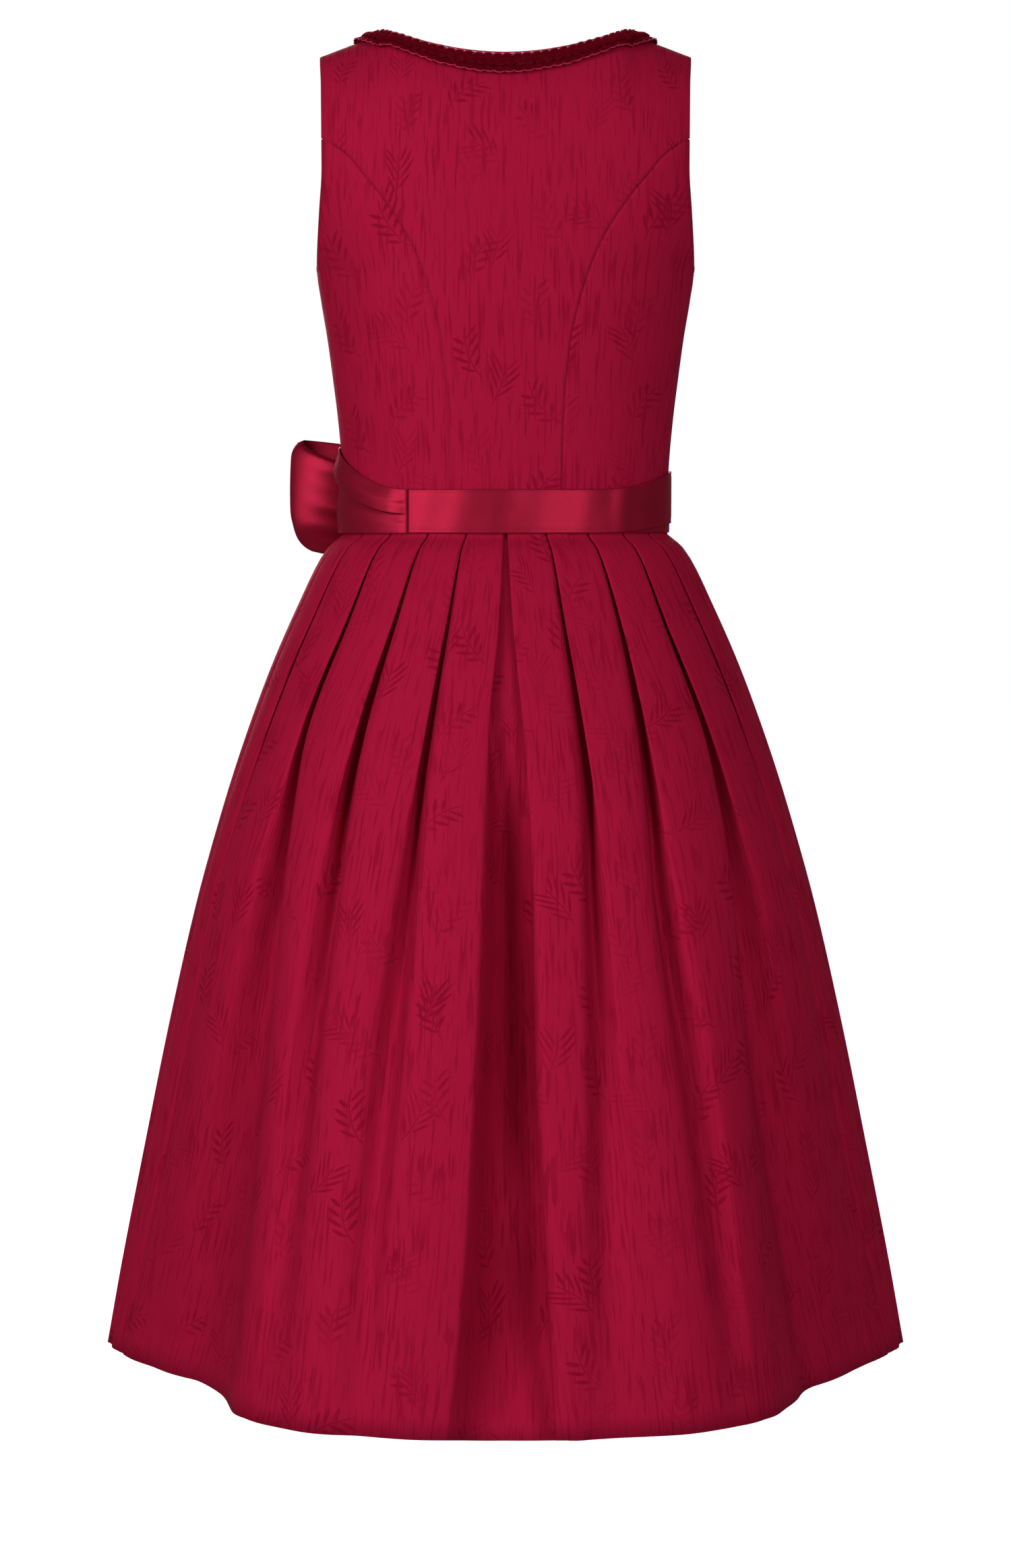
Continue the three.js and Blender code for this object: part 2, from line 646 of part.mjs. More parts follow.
// The way off the neck's edge at the shoulder seam, and the trims' distance from that seam
const SHOULDER_LENGTH = Math.hypot(SHOULDER_TIP.x - NECK_HALF_WIDTH, NECK_RISE + SHOULDER_TIP.drop);
const SHOULDER_WAY = [
  (SHOULDER_TIP.x - NECK_HALF_WIDTH) / SHOULDER_LENGTH,
  -(NECK_RISE + SHOULDER_TIP.drop) / SHOULDER_LENGTH,
];
const TRIM_END = 0.4;

function backTrim() {
  const reach = 0.996;
  const neck = (t) => {
    const x = NECK_HALF_WIDTH * Math.sin(mix(-reach, reach, t) * (Math.PI / 2));
    return [x, topHeight(x)];
  };
  const away = (t) => {
    const u = mix(-1, 1, t);
    const shoulder = [Math.sign(u) * SHOULDER_WAY[0], SHOULDER_WAY[1]];
    const [x, z] = mix2([0, -1], shoulder, Math.abs(u) ** 1.6);
    const length = Math.hypot(x, z);
    return [x / length, z / length];
  };
  const rows = trimRows(neck, away, backAt, TRIM_STATIONS.back);
  for (const row of [rows[0], rows[rows.length - 1]]) {
    for (const point of row) point.p.y = Math.max(point.p.y, TRIM_END);
  }
  return rows;
}

function frontTrim() {
  const away = (t) => {
    const h = 0.002;
    const [a, b] = [frontNeck(Math.max(0, t - h)), frontNeck(Math.min(1, t + h))];
    const length = Math.hypot(b[0] - a[0], b[1] - a[1]);
    const outward = [(b[1] - a[1]) / length, -(b[0] - a[0]) / length];
    const atShoulder = smooth((t - 0.75) / 0.25);
    const atCentre = smooth((0.14 - t) / 0.14);
    const [x, z] = mix2(mix2(outward, SHOULDER_WAY, atShoulder), [0, -1], atCentre);
    const norm = Math.hypot(x, z);
    return [x / norm, z / norm];
  };
  const rows = trimRows(frontNeck, away, frontAt, TRIM_STATIONS.front);
  for (const point of rows[rows.length - 1]) point.p.y = Math.min(point.p.y, -TRIM_END);
  for (const point of rows[0]) {
    point.p.x = 2 * SEAM_GAP;
    point.n.x = 0;
  }
  return rows;
}

// The skirt

// The waist's oval, let out by a flare: [half width, half depth] on the back or front side
function oval(drop, front) {
  const flare = skirtFlare(drop);
  const depth = front
    ? torsoFront(WAIST_DROP) + flare * FRONT_FLARE
    : torsoBack(WAIST_DROP) + flare * BACK_FLARE;
  return [torsoHalfWidth(WAIST_DROP) + flare, depth];
}

// The point on that oval at an angle from the nearer centre line, moved out by a height
function onOval(drop, front, angle, height) {
  const [a, b] = oval(drop, front);
  const [s, c] = [Math.sin(angle * RAD), Math.cos(angle * RAD)];
  const length = Math.hypot(s / a, c / b);
  const x = a * s + (height * s) / a / length;
  const y = b * c + (height * c) / b / length;
  return [x, front ? -y : y];
}

// Degrees round the oval for a length along it
function degreesFor(drop, front, angle, length) {
  const [a, b] = oval(drop, front);
  return length / (Math.hypot(a * Math.cos(angle * RAD), b * Math.sin(angle * RAD)) * RAD);
}

const asCurves = (folds) =>
  folds.map((fold) =>
    Object.fromEntries(Object.entries(fold).map(([name, values]) => [name, through(STATIONS, values)])),
  );

// One fold as [angle, height] pairs, from the hollow beside it to the top of its edge.
// It is a knife pleat where its cloth runs under the fold, and an open wave where it doesn't.
function foldPoints(fold, drop, first) {
  const edge = fold.edge(drop);
  const degree = 1 / degreesFor(drop, false, edge, 1);
  const [width, depth] = [fold.width(drop) * degree, fold.depth(drop)];
  const under = Math.max(0, fold.under(drop));
  const turn = LAYER / 2;
  const pleat = [
    [-width, 0],
    [-0.55 * width, -0.55 * depth],
    [-0.2 * width, -0.95 * depth],
    [under, -depth],
    [under + turn, turn - depth],
    [under, LAYER - depth],
    [turn, -LAYER],
    [-0.4 * turn, -turn],
    [turn, 0],
  ];
  const wave = [
    [-width, 0],
    [-0.8 * width, -0.45 * depth],
    [-0.62 * width, -0.85 * depth],
    [-0.48 * width, -depth],
    [-0.38 * width, -0.97 * depth],
    [-0.27 * width, -0.83 * depth],
    [-0.15 * width, -0.52 * depth],
    [-0.03 * width, -0.16 * depth],
    [KNIFE_UNDER, 0],
  ];
  const folded = clamp01(under / KNIFE_UNDER);
  const points = wave.map((open, i) => mix2(open, pleat[i], folded));
  const used = first ? [[-width, -depth], ...points.slice(3)] : points;
  return used.map(([length, height]) => [edge + length / degree, height]);
}

// The front's pleats are plain grooves
function groovePoints(fold, drop, first) {
  const [edge, width, depth] = [fold.edge(drop), fold.width(drop), fold.depth(drop)];
  const start = first ? [] : [[edge - width, 0]];
  return [...start, [first ? 0 : edge - width / 2, -depth], [edge, 0]];
}

// A quarter of the skirt's section, from the centre line to the side seam
function quarterSection(folds, swell, drop, front) {
  const grown = smooth((drop - SWELL_FROM) / (HEM_DROP - SWELL_FROM));
  const side = 90 - degreesFor(drop, front, 90, SEAM_GAP);
  const points = [];
  folds.forEach((fold, k) => {
    points.push(...(front ? groovePoints : foldPoints)(fold, drop, k === 0));
    const from = points[points.length - 1][0];
    const next = folds[k + 1];
    const to = next ? next.edge(drop) - next.width(drop) : side;
    points.push([mix(from, to, front ? PANEL_MIDDLE.front : PANEL_MIDDLE.back), 0]);
  });
  points.push([side, 0]);
  return points.map(([angle, height]) =>
    onOval(drop, front, angle, height + (front ? 0 : grown * swell(angle))),
  );
}

// Each ring's middle line runs from one side seam to the other, and its normals turn with the folds
function skirtRows(rings, left, right, front) {
  const [swellLeft, swellRight] = [SWELL_LEFT, SWELL_RIGHT].map((rows) =>
    through(rows.map((r) => r.angle), rows.map((r) => r.rise)),
  );
  return rings.map((drop) => {
    const leftHalf = quarterSection(left, swellLeft, drop, front);
    const rightHalf = quarterSection(right, swellRight, drop, front);
    const line = [...rightHalf.slice(1).reverse().map(([x, y]) => [-x, y]), ...leftHalf];
    return line.map(([x, y], i) => {
      const [before, after] = [line[Math.max(0, i - 1)], line[Math.min(line.length - 1, i + 1)]];
      const way = front ? -1 : 1;
      const n = new THREE.Vector3(before[1] - after[1], after[0] - before[0], 0).normalize();
      n.multiplyScalar(way);
      const p = new THREE.Vector3(x, y, -drop).addScaledVector(n, SKIRT_CLOTH / 2);
      return { p, n };
    });
  });
}

// The band round the waist, the sash, the bow and the apron

// A point on the waist's oval at an angle from the centre back, for pieces that lie over it
function aroundSkirt(angle, drop, lift) {
  const turn = ((angle % 360) + 540) % 360 - 180;
  const front = Math.abs(turn) > 90;
  const fromCentre = front ? 180 - Math.abs(turn) : Math.abs(turn);
  const [x, y] = onOval(drop, front, fromCentre, lift);
  return new THREE.Vector3(Math.sign(turn) * x, y, -drop);
}
const overSkirt = (angle, drop, lift) =>
  onSurface((a, d) => aroundSkirt(a, d, lift), angle, drop, 0.2, 0.2);
const overWaist = (angle, drop, lift) => {
  const p = aroundSkirt(angle, WAIST_DROP, lift);
  const ahead = aroundSkirt(angle + 0.2, WAIST_DROP, lift);
  const back = aroundSkirt(angle - 0.2, WAIST_DROP, lift);
  const n = new THREE.Vector3(back.y - ahead.y, ahead.x - back.x, 0).normalize();
  p.z = -drop;
  return { p, n };
};

// The satin ribbon across the back. It climbs at the wearer's right, over the end of the apron's band.
const RIBBON = { end: -102, over: 1.5, overWithin: 8, riseWithin: 55 };
function beltBack() {
  return evenly(3).map((v) =>
    evenly(26).map((u) => {
      const angle = mix(RIBBON.end, BAND.seamAngle, u);
      const climb = BAND.rise * smooth((-angle - BAND.riseFrom) / RIBBON.riseWithin);
      const over = RIBBON.over * smooth((-angle - BAND.riseFrom) / RIBBON.overWithin);
      const drop = mix(BAND.bottom, BAND.top, v) - climb;
      return overWaist(angle, drop, BAND.lift + BAND.cloth + over);
    }),
  );
}

// The apron's band, from under that ribbon round the front to the knot
const APRON_BAND = { start: -48, end: KNOT.angle - 362, top: BAND.top + 3 };
function apronBand() {
  return evenly(2).map((v) =>
    evenly(32).map((u) => {
      const angle = mix(APRON_BAND.start, APRON_BAND.end, u);
      return overWaist(angle, mix(BAND.bottom, APRON_BAND.top, v), BAND.lift + BAND.cloth);
    }),
  );
}

// The wide sash sewn to the ribbon's end. It spreads as it goes round the left side, and is folded once
// along its length.
const SASH = {
  top: 316,
  bottom: 384.6,
  end: 135.4,
  endHalfWidth: 17,
  foldDepth: 4.5,
  clear: 0.6,
  overBodice: 2.6,
};
const SASH_ACROSS = [0, 0.2, 0.4, 0.52, 0.6, 0.8, 1];
const SASH_RELIEF = [0, 0.55, 1, 0.75, -0.1, 0.35, 0];
function sashSide() {
  return SASH_ACROSS.map((v, k) =>
    evenly(16).map((u) => {
      const angle = mix(BAND.seamAngle + 0.2, SASH.end, u);
      const spread = smooth(u / 0.62);
      const close = smooth((u - 0.72) / 0.28);
      const top = mix(mix(BAND.top, SASH.top, spread), KNOT.drop - SASH.endHalfWidth, close);
      const bottomEnd = mix(SASH.bottom, KNOT.drop + SASH.endHalfWidth, close);
      const bottom = mix(BAND.bottom, bottomEnd, spread);
      const drop = mix(bottom, top, v);
      const puff = SASH.foldDepth * Math.sin(Math.min(1, u * 1.4 + 0.06) * Math.PI * 0.62);
      const bodice = SASH.overBodice * smooth((BAND.top - drop) / 30);
      const fold = puff * (0.5 + SASH_RELIEF[k] / 2);
      return overWaist(angle, drop, BAND.lift + BAND.cloth + SASH.clear + bodice + fold);
    }),
  );
}

// Directions at the knot: out from the body, and along the waist towards the back
const knotSeat = overWaist(KNOT.angle, KNOT.drop, KNOT.out);
const OUT = knotSeat.n;
const ALONG = new THREE.Vector3(-OUT.y, OUT.x, 0);
const UP = new THREE.Vector3(0, 0, 1);
const fromKnot = (along, out, up) =>
  knotSeat.p
    .clone()
    .addScaledVector(ALONG, along)
    .addScaledVector(OUT, out)
    .addScaledVector(UP, up);

// The knot: the sash wrapped once round the gathered middle of the bow
function knot() {
  const profile = [];
  const steps = 10;
  for (let i = 0; i <= steps; i += 1) {
    const a = (i / steps) * Math.PI - Math.PI / 2;
    profile.push(new THREE.Vector2(Math.cos(a) ** 0.75, Math.sin(a)));
  }
  profile[0].x = 0;
  profile[steps].x = 0;
  const geometry = new THREE.LatheGeometry(profile, 14);
  geometry.scale(KNOT.halfWidth, KNOT.halfHeight, KNOT.halfDepth);
  return geometry;
}

// A loop of the bow, as a strip that leaves the knot, turns at its end and comes back in front of itself.
// Below the skirt's top it is pushed out, clear of the pleats.
const SKIRT_TOP = 376;
const LOOP = { length: 102, gap: 11, bend: 0.42, lift: 9, lean: 4, skew: 4, cup: 3.5, root: 22 };
const STRIP_ACROSS = [-0.5, -0.25, 0, 0.25, 0.5];
function bowLoop(side, pushOut) {
  const stations = evenly(22);
  const lineAt = (t) => {
    const a = (t - 0.5) * 2;
    const reach = Math.cos((a * Math.PI) / 2) ** LOOP.bend;
    const along = side * mix(KNOT.halfWidth - 0.4, LOOP.length, reach);
    const open = LOOP.gap * Math.sin(a * Math.PI * 0.5) * (0.35 + 0.65 * smooth(reach * 1.1));
    return { along, out: open - LOOP.lean * reach, reach };
  };
  return stations.map((t) => {
    const { along, out, reach } = lineAt(t);
    const [before, after] = [lineAt(Math.max(0, t - 0.01)), lineAt(Math.min(1, t + 0.01))];
    const tangent = ALONG.clone()
      .multiplyScalar(after.along - before.along)
      .addScaledVector(OUT, after.out - before.out)
      .normalize();
    const n = new THREE.Vector3().crossVectors(tangent, UP).normalize();
    const height = mix(LOOP.root, SASH_WIDTH, smooth(reach * 1.15));
    const skew = LOOP.skew * Math.sin((t - 0.5) * 2 * Math.PI);
    const middle = mix(0, LOOP.lift, smooth(reach)) + skew;
    return STRIP_ACROSS.map((v) => {
      const cup = LOOP.cup * (1 - 4 * v * v) * Math.sin(t * Math.PI);
      const up = middle + v * height;
      const clear = pushOut * smooth((KNOT.drop - up - SKIRT_TOP) / 22);
      const p = fromKnot(along, out + clear, up).addScaledVector(n, cup);
      return { p, n: n.clone() };
    });
  });
}

// A tail of the bow, hanging over the apron
const TAIL = { root: 20, ripple: 3 };
const TAIL_LONG = { angle: 142, drift: 9, length: 392, start: 13, lift: 31, cut: 22 };
const TAIL_SHORT = { angle: 138, drift: 3, length: 342, start: 15.3, lift: 41, cut: -22 };
function bowTail({ angle, drift, length, start, lift, cut }) {
  const topDrop = KNOT.drop + KNOT.halfHeight + 0.4;
  return evenly(9).map((t) => {
    const drop = topDrop + length * t;
    const width = mix(TAIL.root, SASH_WIDTH, smooth(t * 2.6 + 0.05));
    return STRIP_ACROSS.map((w) => {
      const slant = cut * w * smooth((t - 0.6) / 0.4);
      const middle = angle + drift * t;
      const turn = middle + degreesFor(drop, true, 180 - middle, w * width);
      const ripple = TAIL.ripple * Math.sin(w * 9 + t * 3) * smooth(t * 3);
      return overSkirt(turn, drop + slant, mix(start, lift, smooth(t * 3)) + ripple);
    });
  });
}

// The apron: gathered into the band, with each gather opening into a soft wave towards the hem
const APRON_DROPS = [APRON.top, 398, 430, 490, 590, 720, 860, APRON.bottom];
const APRON_LIFT = { top: 3.6, bottom: 15 };
const APRON_WAVE = { top: 1.3, bottom: 6, columns: 3 };
function apron() {
  return APRON_DROPS.map((drop) => {
    const down = (drop - APRON.top) / (APRON.bottom - APRON.top);
    const lift = mix(APRON_LIFT.top, APRON_LIFT.bottom, smooth(down * 1.2));
    const amplitude = mix(APRON_WAVE.top, APRON_WAVE.bottom, smooth(down * 1.1));
    return evenly(APRON.waves * APRON_WAVE.columns).map((u) => {
      const angle = 180 + mix(-APRON.reach, APRON.reach, u);
      const wave = Math.cos(u * APRON.waves * 2 * Math.PI) * amplitude;
      const slow = Math.sin(u * 17 + 1.3) * 0.35 * amplitude;
      return overSkirt(angle, drop, lift + wave + slow);
    });
  });
}

// Assembly
const material = (color, roughness) =>
  new THREE.MeshStandardMaterial({ color, roughness, metalness: 0 });
const jacquard = material(0xa3143a, 0.62);
const satin = material(0xa8173a, 0.34);
const velvet = material(0x5e0a1e, 0.85);
const buttonCloth = material(0x8e1232, 0.5);

const dirndl = new THREE.Group();
function add(name, geometry, look, position, turn) {
  const mesh = new THREE.Mesh(geometry, look);
  mesh.name = name;
  if (position) mesh.position.copy(position);
  if (turn) mesh.quaternion.copy(turn);
  dirndl.add(mesh);
}

add('bodice_back', wall(backCentre(), CLOTH), jacquard);
add('bodice_side_back_left', wall(sideBack(), CLOTH), jacquard);
add('bodice_side_back_right', wall(mirroredRows(sideBack()), CLOTH), jacquard);
add('bodice_side_front_left', wall(sideFront(), CLOTH), jacquard);
add('bodice_side_front_right', wall(mirroredRows(sideFront()), CLOTH), jacquard);
add('bodice_front_left', wall(frontCentre(), CLOTH), jacquard);
add('bodice_front_right', wall(mirroredRows(frontCentre()), CLOTH), jacquard);
add('front_placket', wall(placket(), PLACKET.cloth), jacquard);
for (let i = 0; i < BUTTON.count; i += 1) {
  const { geometry, position, turn } = button(BUTTON.first + i * BUTTON.pitch);
  add(`button_${i + 1}`, geometry, buttonCloth, position, turn);
}

add('trim_back', raisedWall(backTrim(), TRIM.lift), velvet);
const leftTrim = frontTrim();
const mirroredTrim = leftTrim.map((row) => row.map((q) => ({ ...mirrored(q), lift: q.lift })));
add('trim_front_left', raisedWall(leftTrim, TRIM.lift), velvet);
add('trim_front_right', raisedWall(mirroredTrim, TRIM.lift), velvet);

const [backLeft, backRight, frontFolds] = [BACK_LEFT, BACK_RIGHT, FRONT].map(asCurves);
const backRows = skirtRows(BACK_RINGS, backLeft, backRight, false);
const frontRows = skirtRows(FRONT_RINGS, frontFolds, frontFolds, true);
add('skirt_back', wall(backRows, SKIRT_CLOTH), jacquard);
add('skirt_front', wall(frontRows, SKIRT_CLOTH), jacquard);

add('belt_back', wall(beltBack(), BAND.cloth), satin);
add('apron_band', wall(apronBand(), BAND.cloth), satin);
add('apron_panel', wall(apron(), APRON.cloth), satin);
add('sash_left', wall(sashSide(), BAND.cloth), satin);
const knotTurn = new THREE.Quaternion().setFromRotationMatrix(
  new THREE.Matrix4().makeBasis(ALONG, UP, OUT.clone()),
);
add('bow_knot', knot(), satin, knotSeat.p, knotTurn);
add('bow_loop_outer', wall(bowLoop(1, 6), BOW_CLOTH), satin);
add('bow_loop_inner', wall(bowLoop(-1, 18), BOW_CLOTH), satin);
add('bow_tail_long', wall(bowTail(TAIL_LONG), BOW_CLOTH), satin);
add('bow_tail_short', wall(bowTail(TAIL_SHORT), BOW_CLOTH), satin);

export default dirndl;
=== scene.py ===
"""The looks of a dirndl seen from behind: jacquard panels, pleats, velvet trim, satin ribbon, bow and apron.
Shapes are worked out in millimetres, from the CAD's sizes and some of their own, and go to Blender in metres.
A drop is a distance below the shoulders. An angle is measured from the centre back, and is positive to
the wearer's left."""

import math

import bpy
import numpy as np
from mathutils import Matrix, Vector


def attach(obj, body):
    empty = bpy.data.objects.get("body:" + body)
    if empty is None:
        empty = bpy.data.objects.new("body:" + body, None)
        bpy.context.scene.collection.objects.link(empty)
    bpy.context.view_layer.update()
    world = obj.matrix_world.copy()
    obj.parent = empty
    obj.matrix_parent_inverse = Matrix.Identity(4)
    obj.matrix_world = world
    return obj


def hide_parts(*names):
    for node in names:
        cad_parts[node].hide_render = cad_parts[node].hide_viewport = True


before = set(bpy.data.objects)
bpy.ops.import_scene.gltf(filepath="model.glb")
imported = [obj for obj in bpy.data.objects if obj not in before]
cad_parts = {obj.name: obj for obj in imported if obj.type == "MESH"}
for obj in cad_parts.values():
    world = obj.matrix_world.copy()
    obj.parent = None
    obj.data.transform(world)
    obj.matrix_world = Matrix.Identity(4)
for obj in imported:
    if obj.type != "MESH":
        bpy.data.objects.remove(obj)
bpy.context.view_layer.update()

MM = 0.001

# Sizes shared with the CAD
NECK_HALF_WIDTH = 97
NECK_RISE = 7.5
NAPE_DROP = 16
NAPE_DEPTH = 58
TIP_X, TIP_DROP = 146, 10.5
FRONT_NECK_DROP = 165
WAIST_DROP = 366
HEM_DROP = 1042
BUST_X, BUST_DROP, BUST_RISE = 82, 212, 26
BUST_ACROSS, BUST_ABOVE, BUST_BELOW = 44, 60, 42
ARMHOLE_DROP, ARMHOLE_HALF = 94, 85
ARMHOLE_BACK, ARMHOLE_FRONT = 52, 56
UNDERARM = ARMHOLE_DROP + ARMHOLE_HALF
BACK_SEAM_TOP, FRONT_SEAM_TOP = 79, 100
SEAM_FOOT = 365.8
BAND_TOP, BAND_BOTTOM, BAND_LIFT = 350, 384, 2.4
BAND_SEAM = 36
KNOT_ANGLE, KNOT_DROP, KNOT_OUT = 140, 364, 13.3
KNOT_HALF = (12.5, 21, 10.5)
SASH_WIDTH = 84
TRIM_WIDTH = 22
APRON_REACH, APRON_TOP, APRON_BOTTOM, APRON_WAVES = 66, 384.8, 1000, 18
SKIRT_HALF_CLOTH = 0.5
BACK_FLARE, FRONT_FLARE = 1.06, 0.96

# Sizes of the looks alone: seams are closer than the CAD's, and the trim's scales reach past its solid
HALF_GAP = 0.03
TRIM_REACH = 27


# Numbers and curves
def mix(a, b, t):
    return a + (b - a) * t


def smooth(t):
    t = np.clip(t, 0, 1)
    return t * t * (3 - 2 * t)


def sind(angle):
    return np.sin(np.radians(angle))


def cosd(angle):
    return np.cos(np.radians(angle))


def xyz(x, y, z):
    return np.stack(np.broadcast_arrays(x, y, z), axis=-1).astype(float)


def unit(v):
    return v / np.maximum(np.linalg.norm(v, axis=-1, keepdims=True), 1e-12)


def curve(xs, ys):
    """A smooth curve through the points that doesn't overshoot them."""
    xs, ys = np.array(xs, float), np.array(ys, float)
    steps = np.diff(ys) / np.diff(xs)
    slopes = np.concatenate([steps[:1], steps[:-1], steps[-1:]])
    for i in range(1, len(xs) - 1):
        a, b = steps[i - 1], steps[i]
        slopes[i] = 0 if a * b <= 0 else 2 * a * b / (a + b)

    def at(x):
        i = np.clip(np.searchsorted(xs, x) - 1, 0, len(xs) - 2)
        h = xs[i + 1] - xs[i]
        t = np.clip((x - xs[i]) / h, 0, 1)
        s = t * t * (3 - 2 * t)
        bow = h * t * (1 - t)
        return mix(ys[i], ys[i + 1], s) + bow * ((1 - t) * slopes[i] - t * slopes[i + 1])

    return at


TORSO_DROPS = [79, 110, 140, 179, 200, 230, 262, 294, 326, 366]
torso_half = curve(TORSO_DROPS, [149, 149, 149, 149.3, 146.6, 141.7, 137.4, 133.5, 130.6, 128.5])
torso_back = curve(TORSO_DROPS, [88, 91, 92, 92, 92, 90, 88, 86, 84.5, 83.5])
torso_front = curve(TORSO_DROPS, [84, 90, 94, 98, 100, 99, 97, 97, 100, 104])
armhole_x = curve([10.5, 37, 69, 101, 133, 179], [146, 143.8, 143.1, 142.9, 145.2, 149.3])
back_seam_x = curve(
    [79, 93, 107, 124, 160, 193, 240, 301, 366],
    [141.8, 122.5, 111, 97, 74, 61, 50, 45, 43.5],
)
front_seam_x = curve([100, 126, 155, 184, 212, 240, 274, 318, 366], [142.5, 124, 104, 92, 84, 76, 66, 56, 50])
skirt_flare = curve(
    [366, 385, 394, 406, 440, 487, 552, 617, 682, 781, 881, 981, 1042],
    [0, 0.3, 11, 19.5, 36, 56.5, 80, 100.5, 119, 142.5, 163.5, 183.5, 194.5],
)


# The bodice's surface
def armhole_reach(drop, reach):
    t = (drop - ARMHOLE_DROP) / ARMHOLE_HALF
    return reach * np.sqrt(np.maximum(0, 1 - t * t))


def half_width(drop, depth, reach):
    """Beside the armhole the cloth's oval is widened so that it passes through the armhole's edge."""
    y = armhole_reach(drop, reach) / depth
    return np.where(drop < UNDERARM, armhole_x(drop) / np.sqrt(1 - y * y), torso_half(drop))


def back_half(drop):
    return half_width(drop, torso_back(drop), ARMHOLE_BACK)


def front_half(drop):
    return half_width(drop, torso_front(drop), ARMHOLE_FRONT)


def torso_point(angle, drop):
    s, c = sind(angle), cosd(angle)
    x = np.where(c >= 0, back_half(drop), front_half(drop)) * s
    across = (np.abs(x) - BUST_X) / BUST_ACROSS
    along = (drop - BUST_DROP) / np.where(drop < BUST_DROP, BUST_ABOVE, BUST_BELOW)
    rise = BUST_RISE * np.exp(-across * across - along * along) * smooth(-c / 0.35)
    y = np.where(c >= 0, torso_back(drop) * c, torso_front(drop) * c - rise)
    return xyz(x, y, -drop)


def top_height(x):
    """The height of the shoulder seams and the back neck."""
    ax = np.abs(x)
    seam = mix(NECK_RISE, -TIP_DROP, (ax - NECK_HALF_WIDTH) / (TIP_X - NECK_HALF_WIDTH))
    neck = -NAPE_DROP + (NAPE_DROP + NECK_RISE) * (ax / NECK_HALF_WIDTH) ** 2
    return np.where(ax > NECK_HALF_WIDTH, seam, neck)


def back_point(x, z):
    drop = np.maximum(-z, BACK_SEAM_TOP)
    low = torso_point(np.degrees(np.arcsin(np.clip(x / back_half(drop), -1, 1))), drop)[..., 1]
    in_neck = np.clip(np.abs(x) / NECK_HALF_WIDTH, 0, 1)
    top = NAPE_DEPTH * np.sqrt(1 - in_neck * in_neck)
    t = np.clip((top_height(x) - z) / (top_height(x) + BACK_SEAM_TOP), 0, 1)
    share = mix(np.sin(t * math.pi / 2), np.sqrt(1 - (1 - t) ** 2), mix(0.5, 1, smooth(in_neck)))
    return xyz(x, np.where(-z >= BACK_SEAM_TOP, low, mix(top, low, share)), z)


def front_point(x, z):
    drop = np.maximum(-z, FRONT_SEAM_TOP)
    angle = 180 - np.degrees(np.arcsin(np.clip(np.abs(x) / front_half(drop), 0, 1)))
    low = torso_point(angle, drop)[..., 1]
    top = np.where(np.abs(x) > NECK_HALF_WIDTH, top_height(x), NECK_RISE)
    t = np.clip((top - z) / (top + FRONT_SEAM_TOP), 0, 1)
    return xyz(x, np.where(-z >= FRONT_SEAM_TOP, low, low * np.sqrt(1 - (1 - t) ** 2)), z)


def with_normals(surface, a, b, step_a, step_b):
    along_a = surface(a + step_a, b) - surface(a - step_a, b)
    along_b = surface(a, b + step_b) - surface(a, b - step_b)
    return surface(a, b), unit(np.cross(along_a, along_b))


def back_at(x, z):
    n = with_normals(back_point, x, np.minimum(z, top_height(x) - 0.02), 0.05, -0.02)[1]
    return back_point(x, z), n


def front_at(x, z):
    top = top_height(np.maximum(x, NECK_HALF_WIDTH))
    n = with_normals(front_point, x, np.minimum(z, top - 0.02), 0.05, 0.02)[1]
    return front_point(x, z), n


def around_at(angle, drop):
    return with_normals(torso_point, angle, drop, 0.05, 0.05)


# The skirt's oval and what lies over it
def oval(drop, front):
    flare = skirt_flare(drop)
    in_front = torso_front(WAIST_DROP) + flare * FRONT_FLARE
    behind = torso_back(WAIST_DROP) + flare * BACK_FLARE
    return torso_half(WAIST_DROP) + flare, np.where(front, in_front, behind)


def on_oval(drop, front, angle, height):
    a, b = oval(drop, front)
    s, c = sind(angle), cosd(angle)
    length = np.hypot(s / a, c / b)
    x = a * s + height * s / a / length
    y = b * c + height * c / b / length
    return xyz(x, np.where(front, -y, y), -drop)


def degrees_for(drop, front, angle, length):
    a, b = oval(drop, front)
    return length / np.radians(np.hypot(a * cosd(angle), b * sind(angle)))


def around_skirt(angle, drop, lift):
    turn = (angle + 180) % 360 - 180
    front = np.abs(turn) > 90
    p = on_oval(drop, front, np.where(front, 180 - np.abs(turn), np.abs(turn)), lift)
    p[..., 0] *= np.sign(turn)
    return p


def over_skirt(angle, drop, lift):
    return with_normals(lambda a, d: around_skirt(a, d, lift), angle, drop, 0.2, 0.2)


def over_waist(angle, drop, lift):
    p = around_skirt(angle, WAIST_DROP, lift)
    ahead, behind = (around_skirt(angle + step, WAIST_DROP, lift) for step in (0.2, -0.2))
    n = unit(xyz(behind[..., 1] - ahead[..., 1], ahead[..., 0] - behind[..., 0], 0))
    p[..., 2] = -drop
    return p, n


# Materials are written as sums of shader numbers
def operation(kind, swapped=False):
    """A method of a shader number that adds one maths node."""

    def method(number, *others):
        values = (*others, number) if swapped else (number, *others)
        return number.graph.math(kind, *values)

    return method


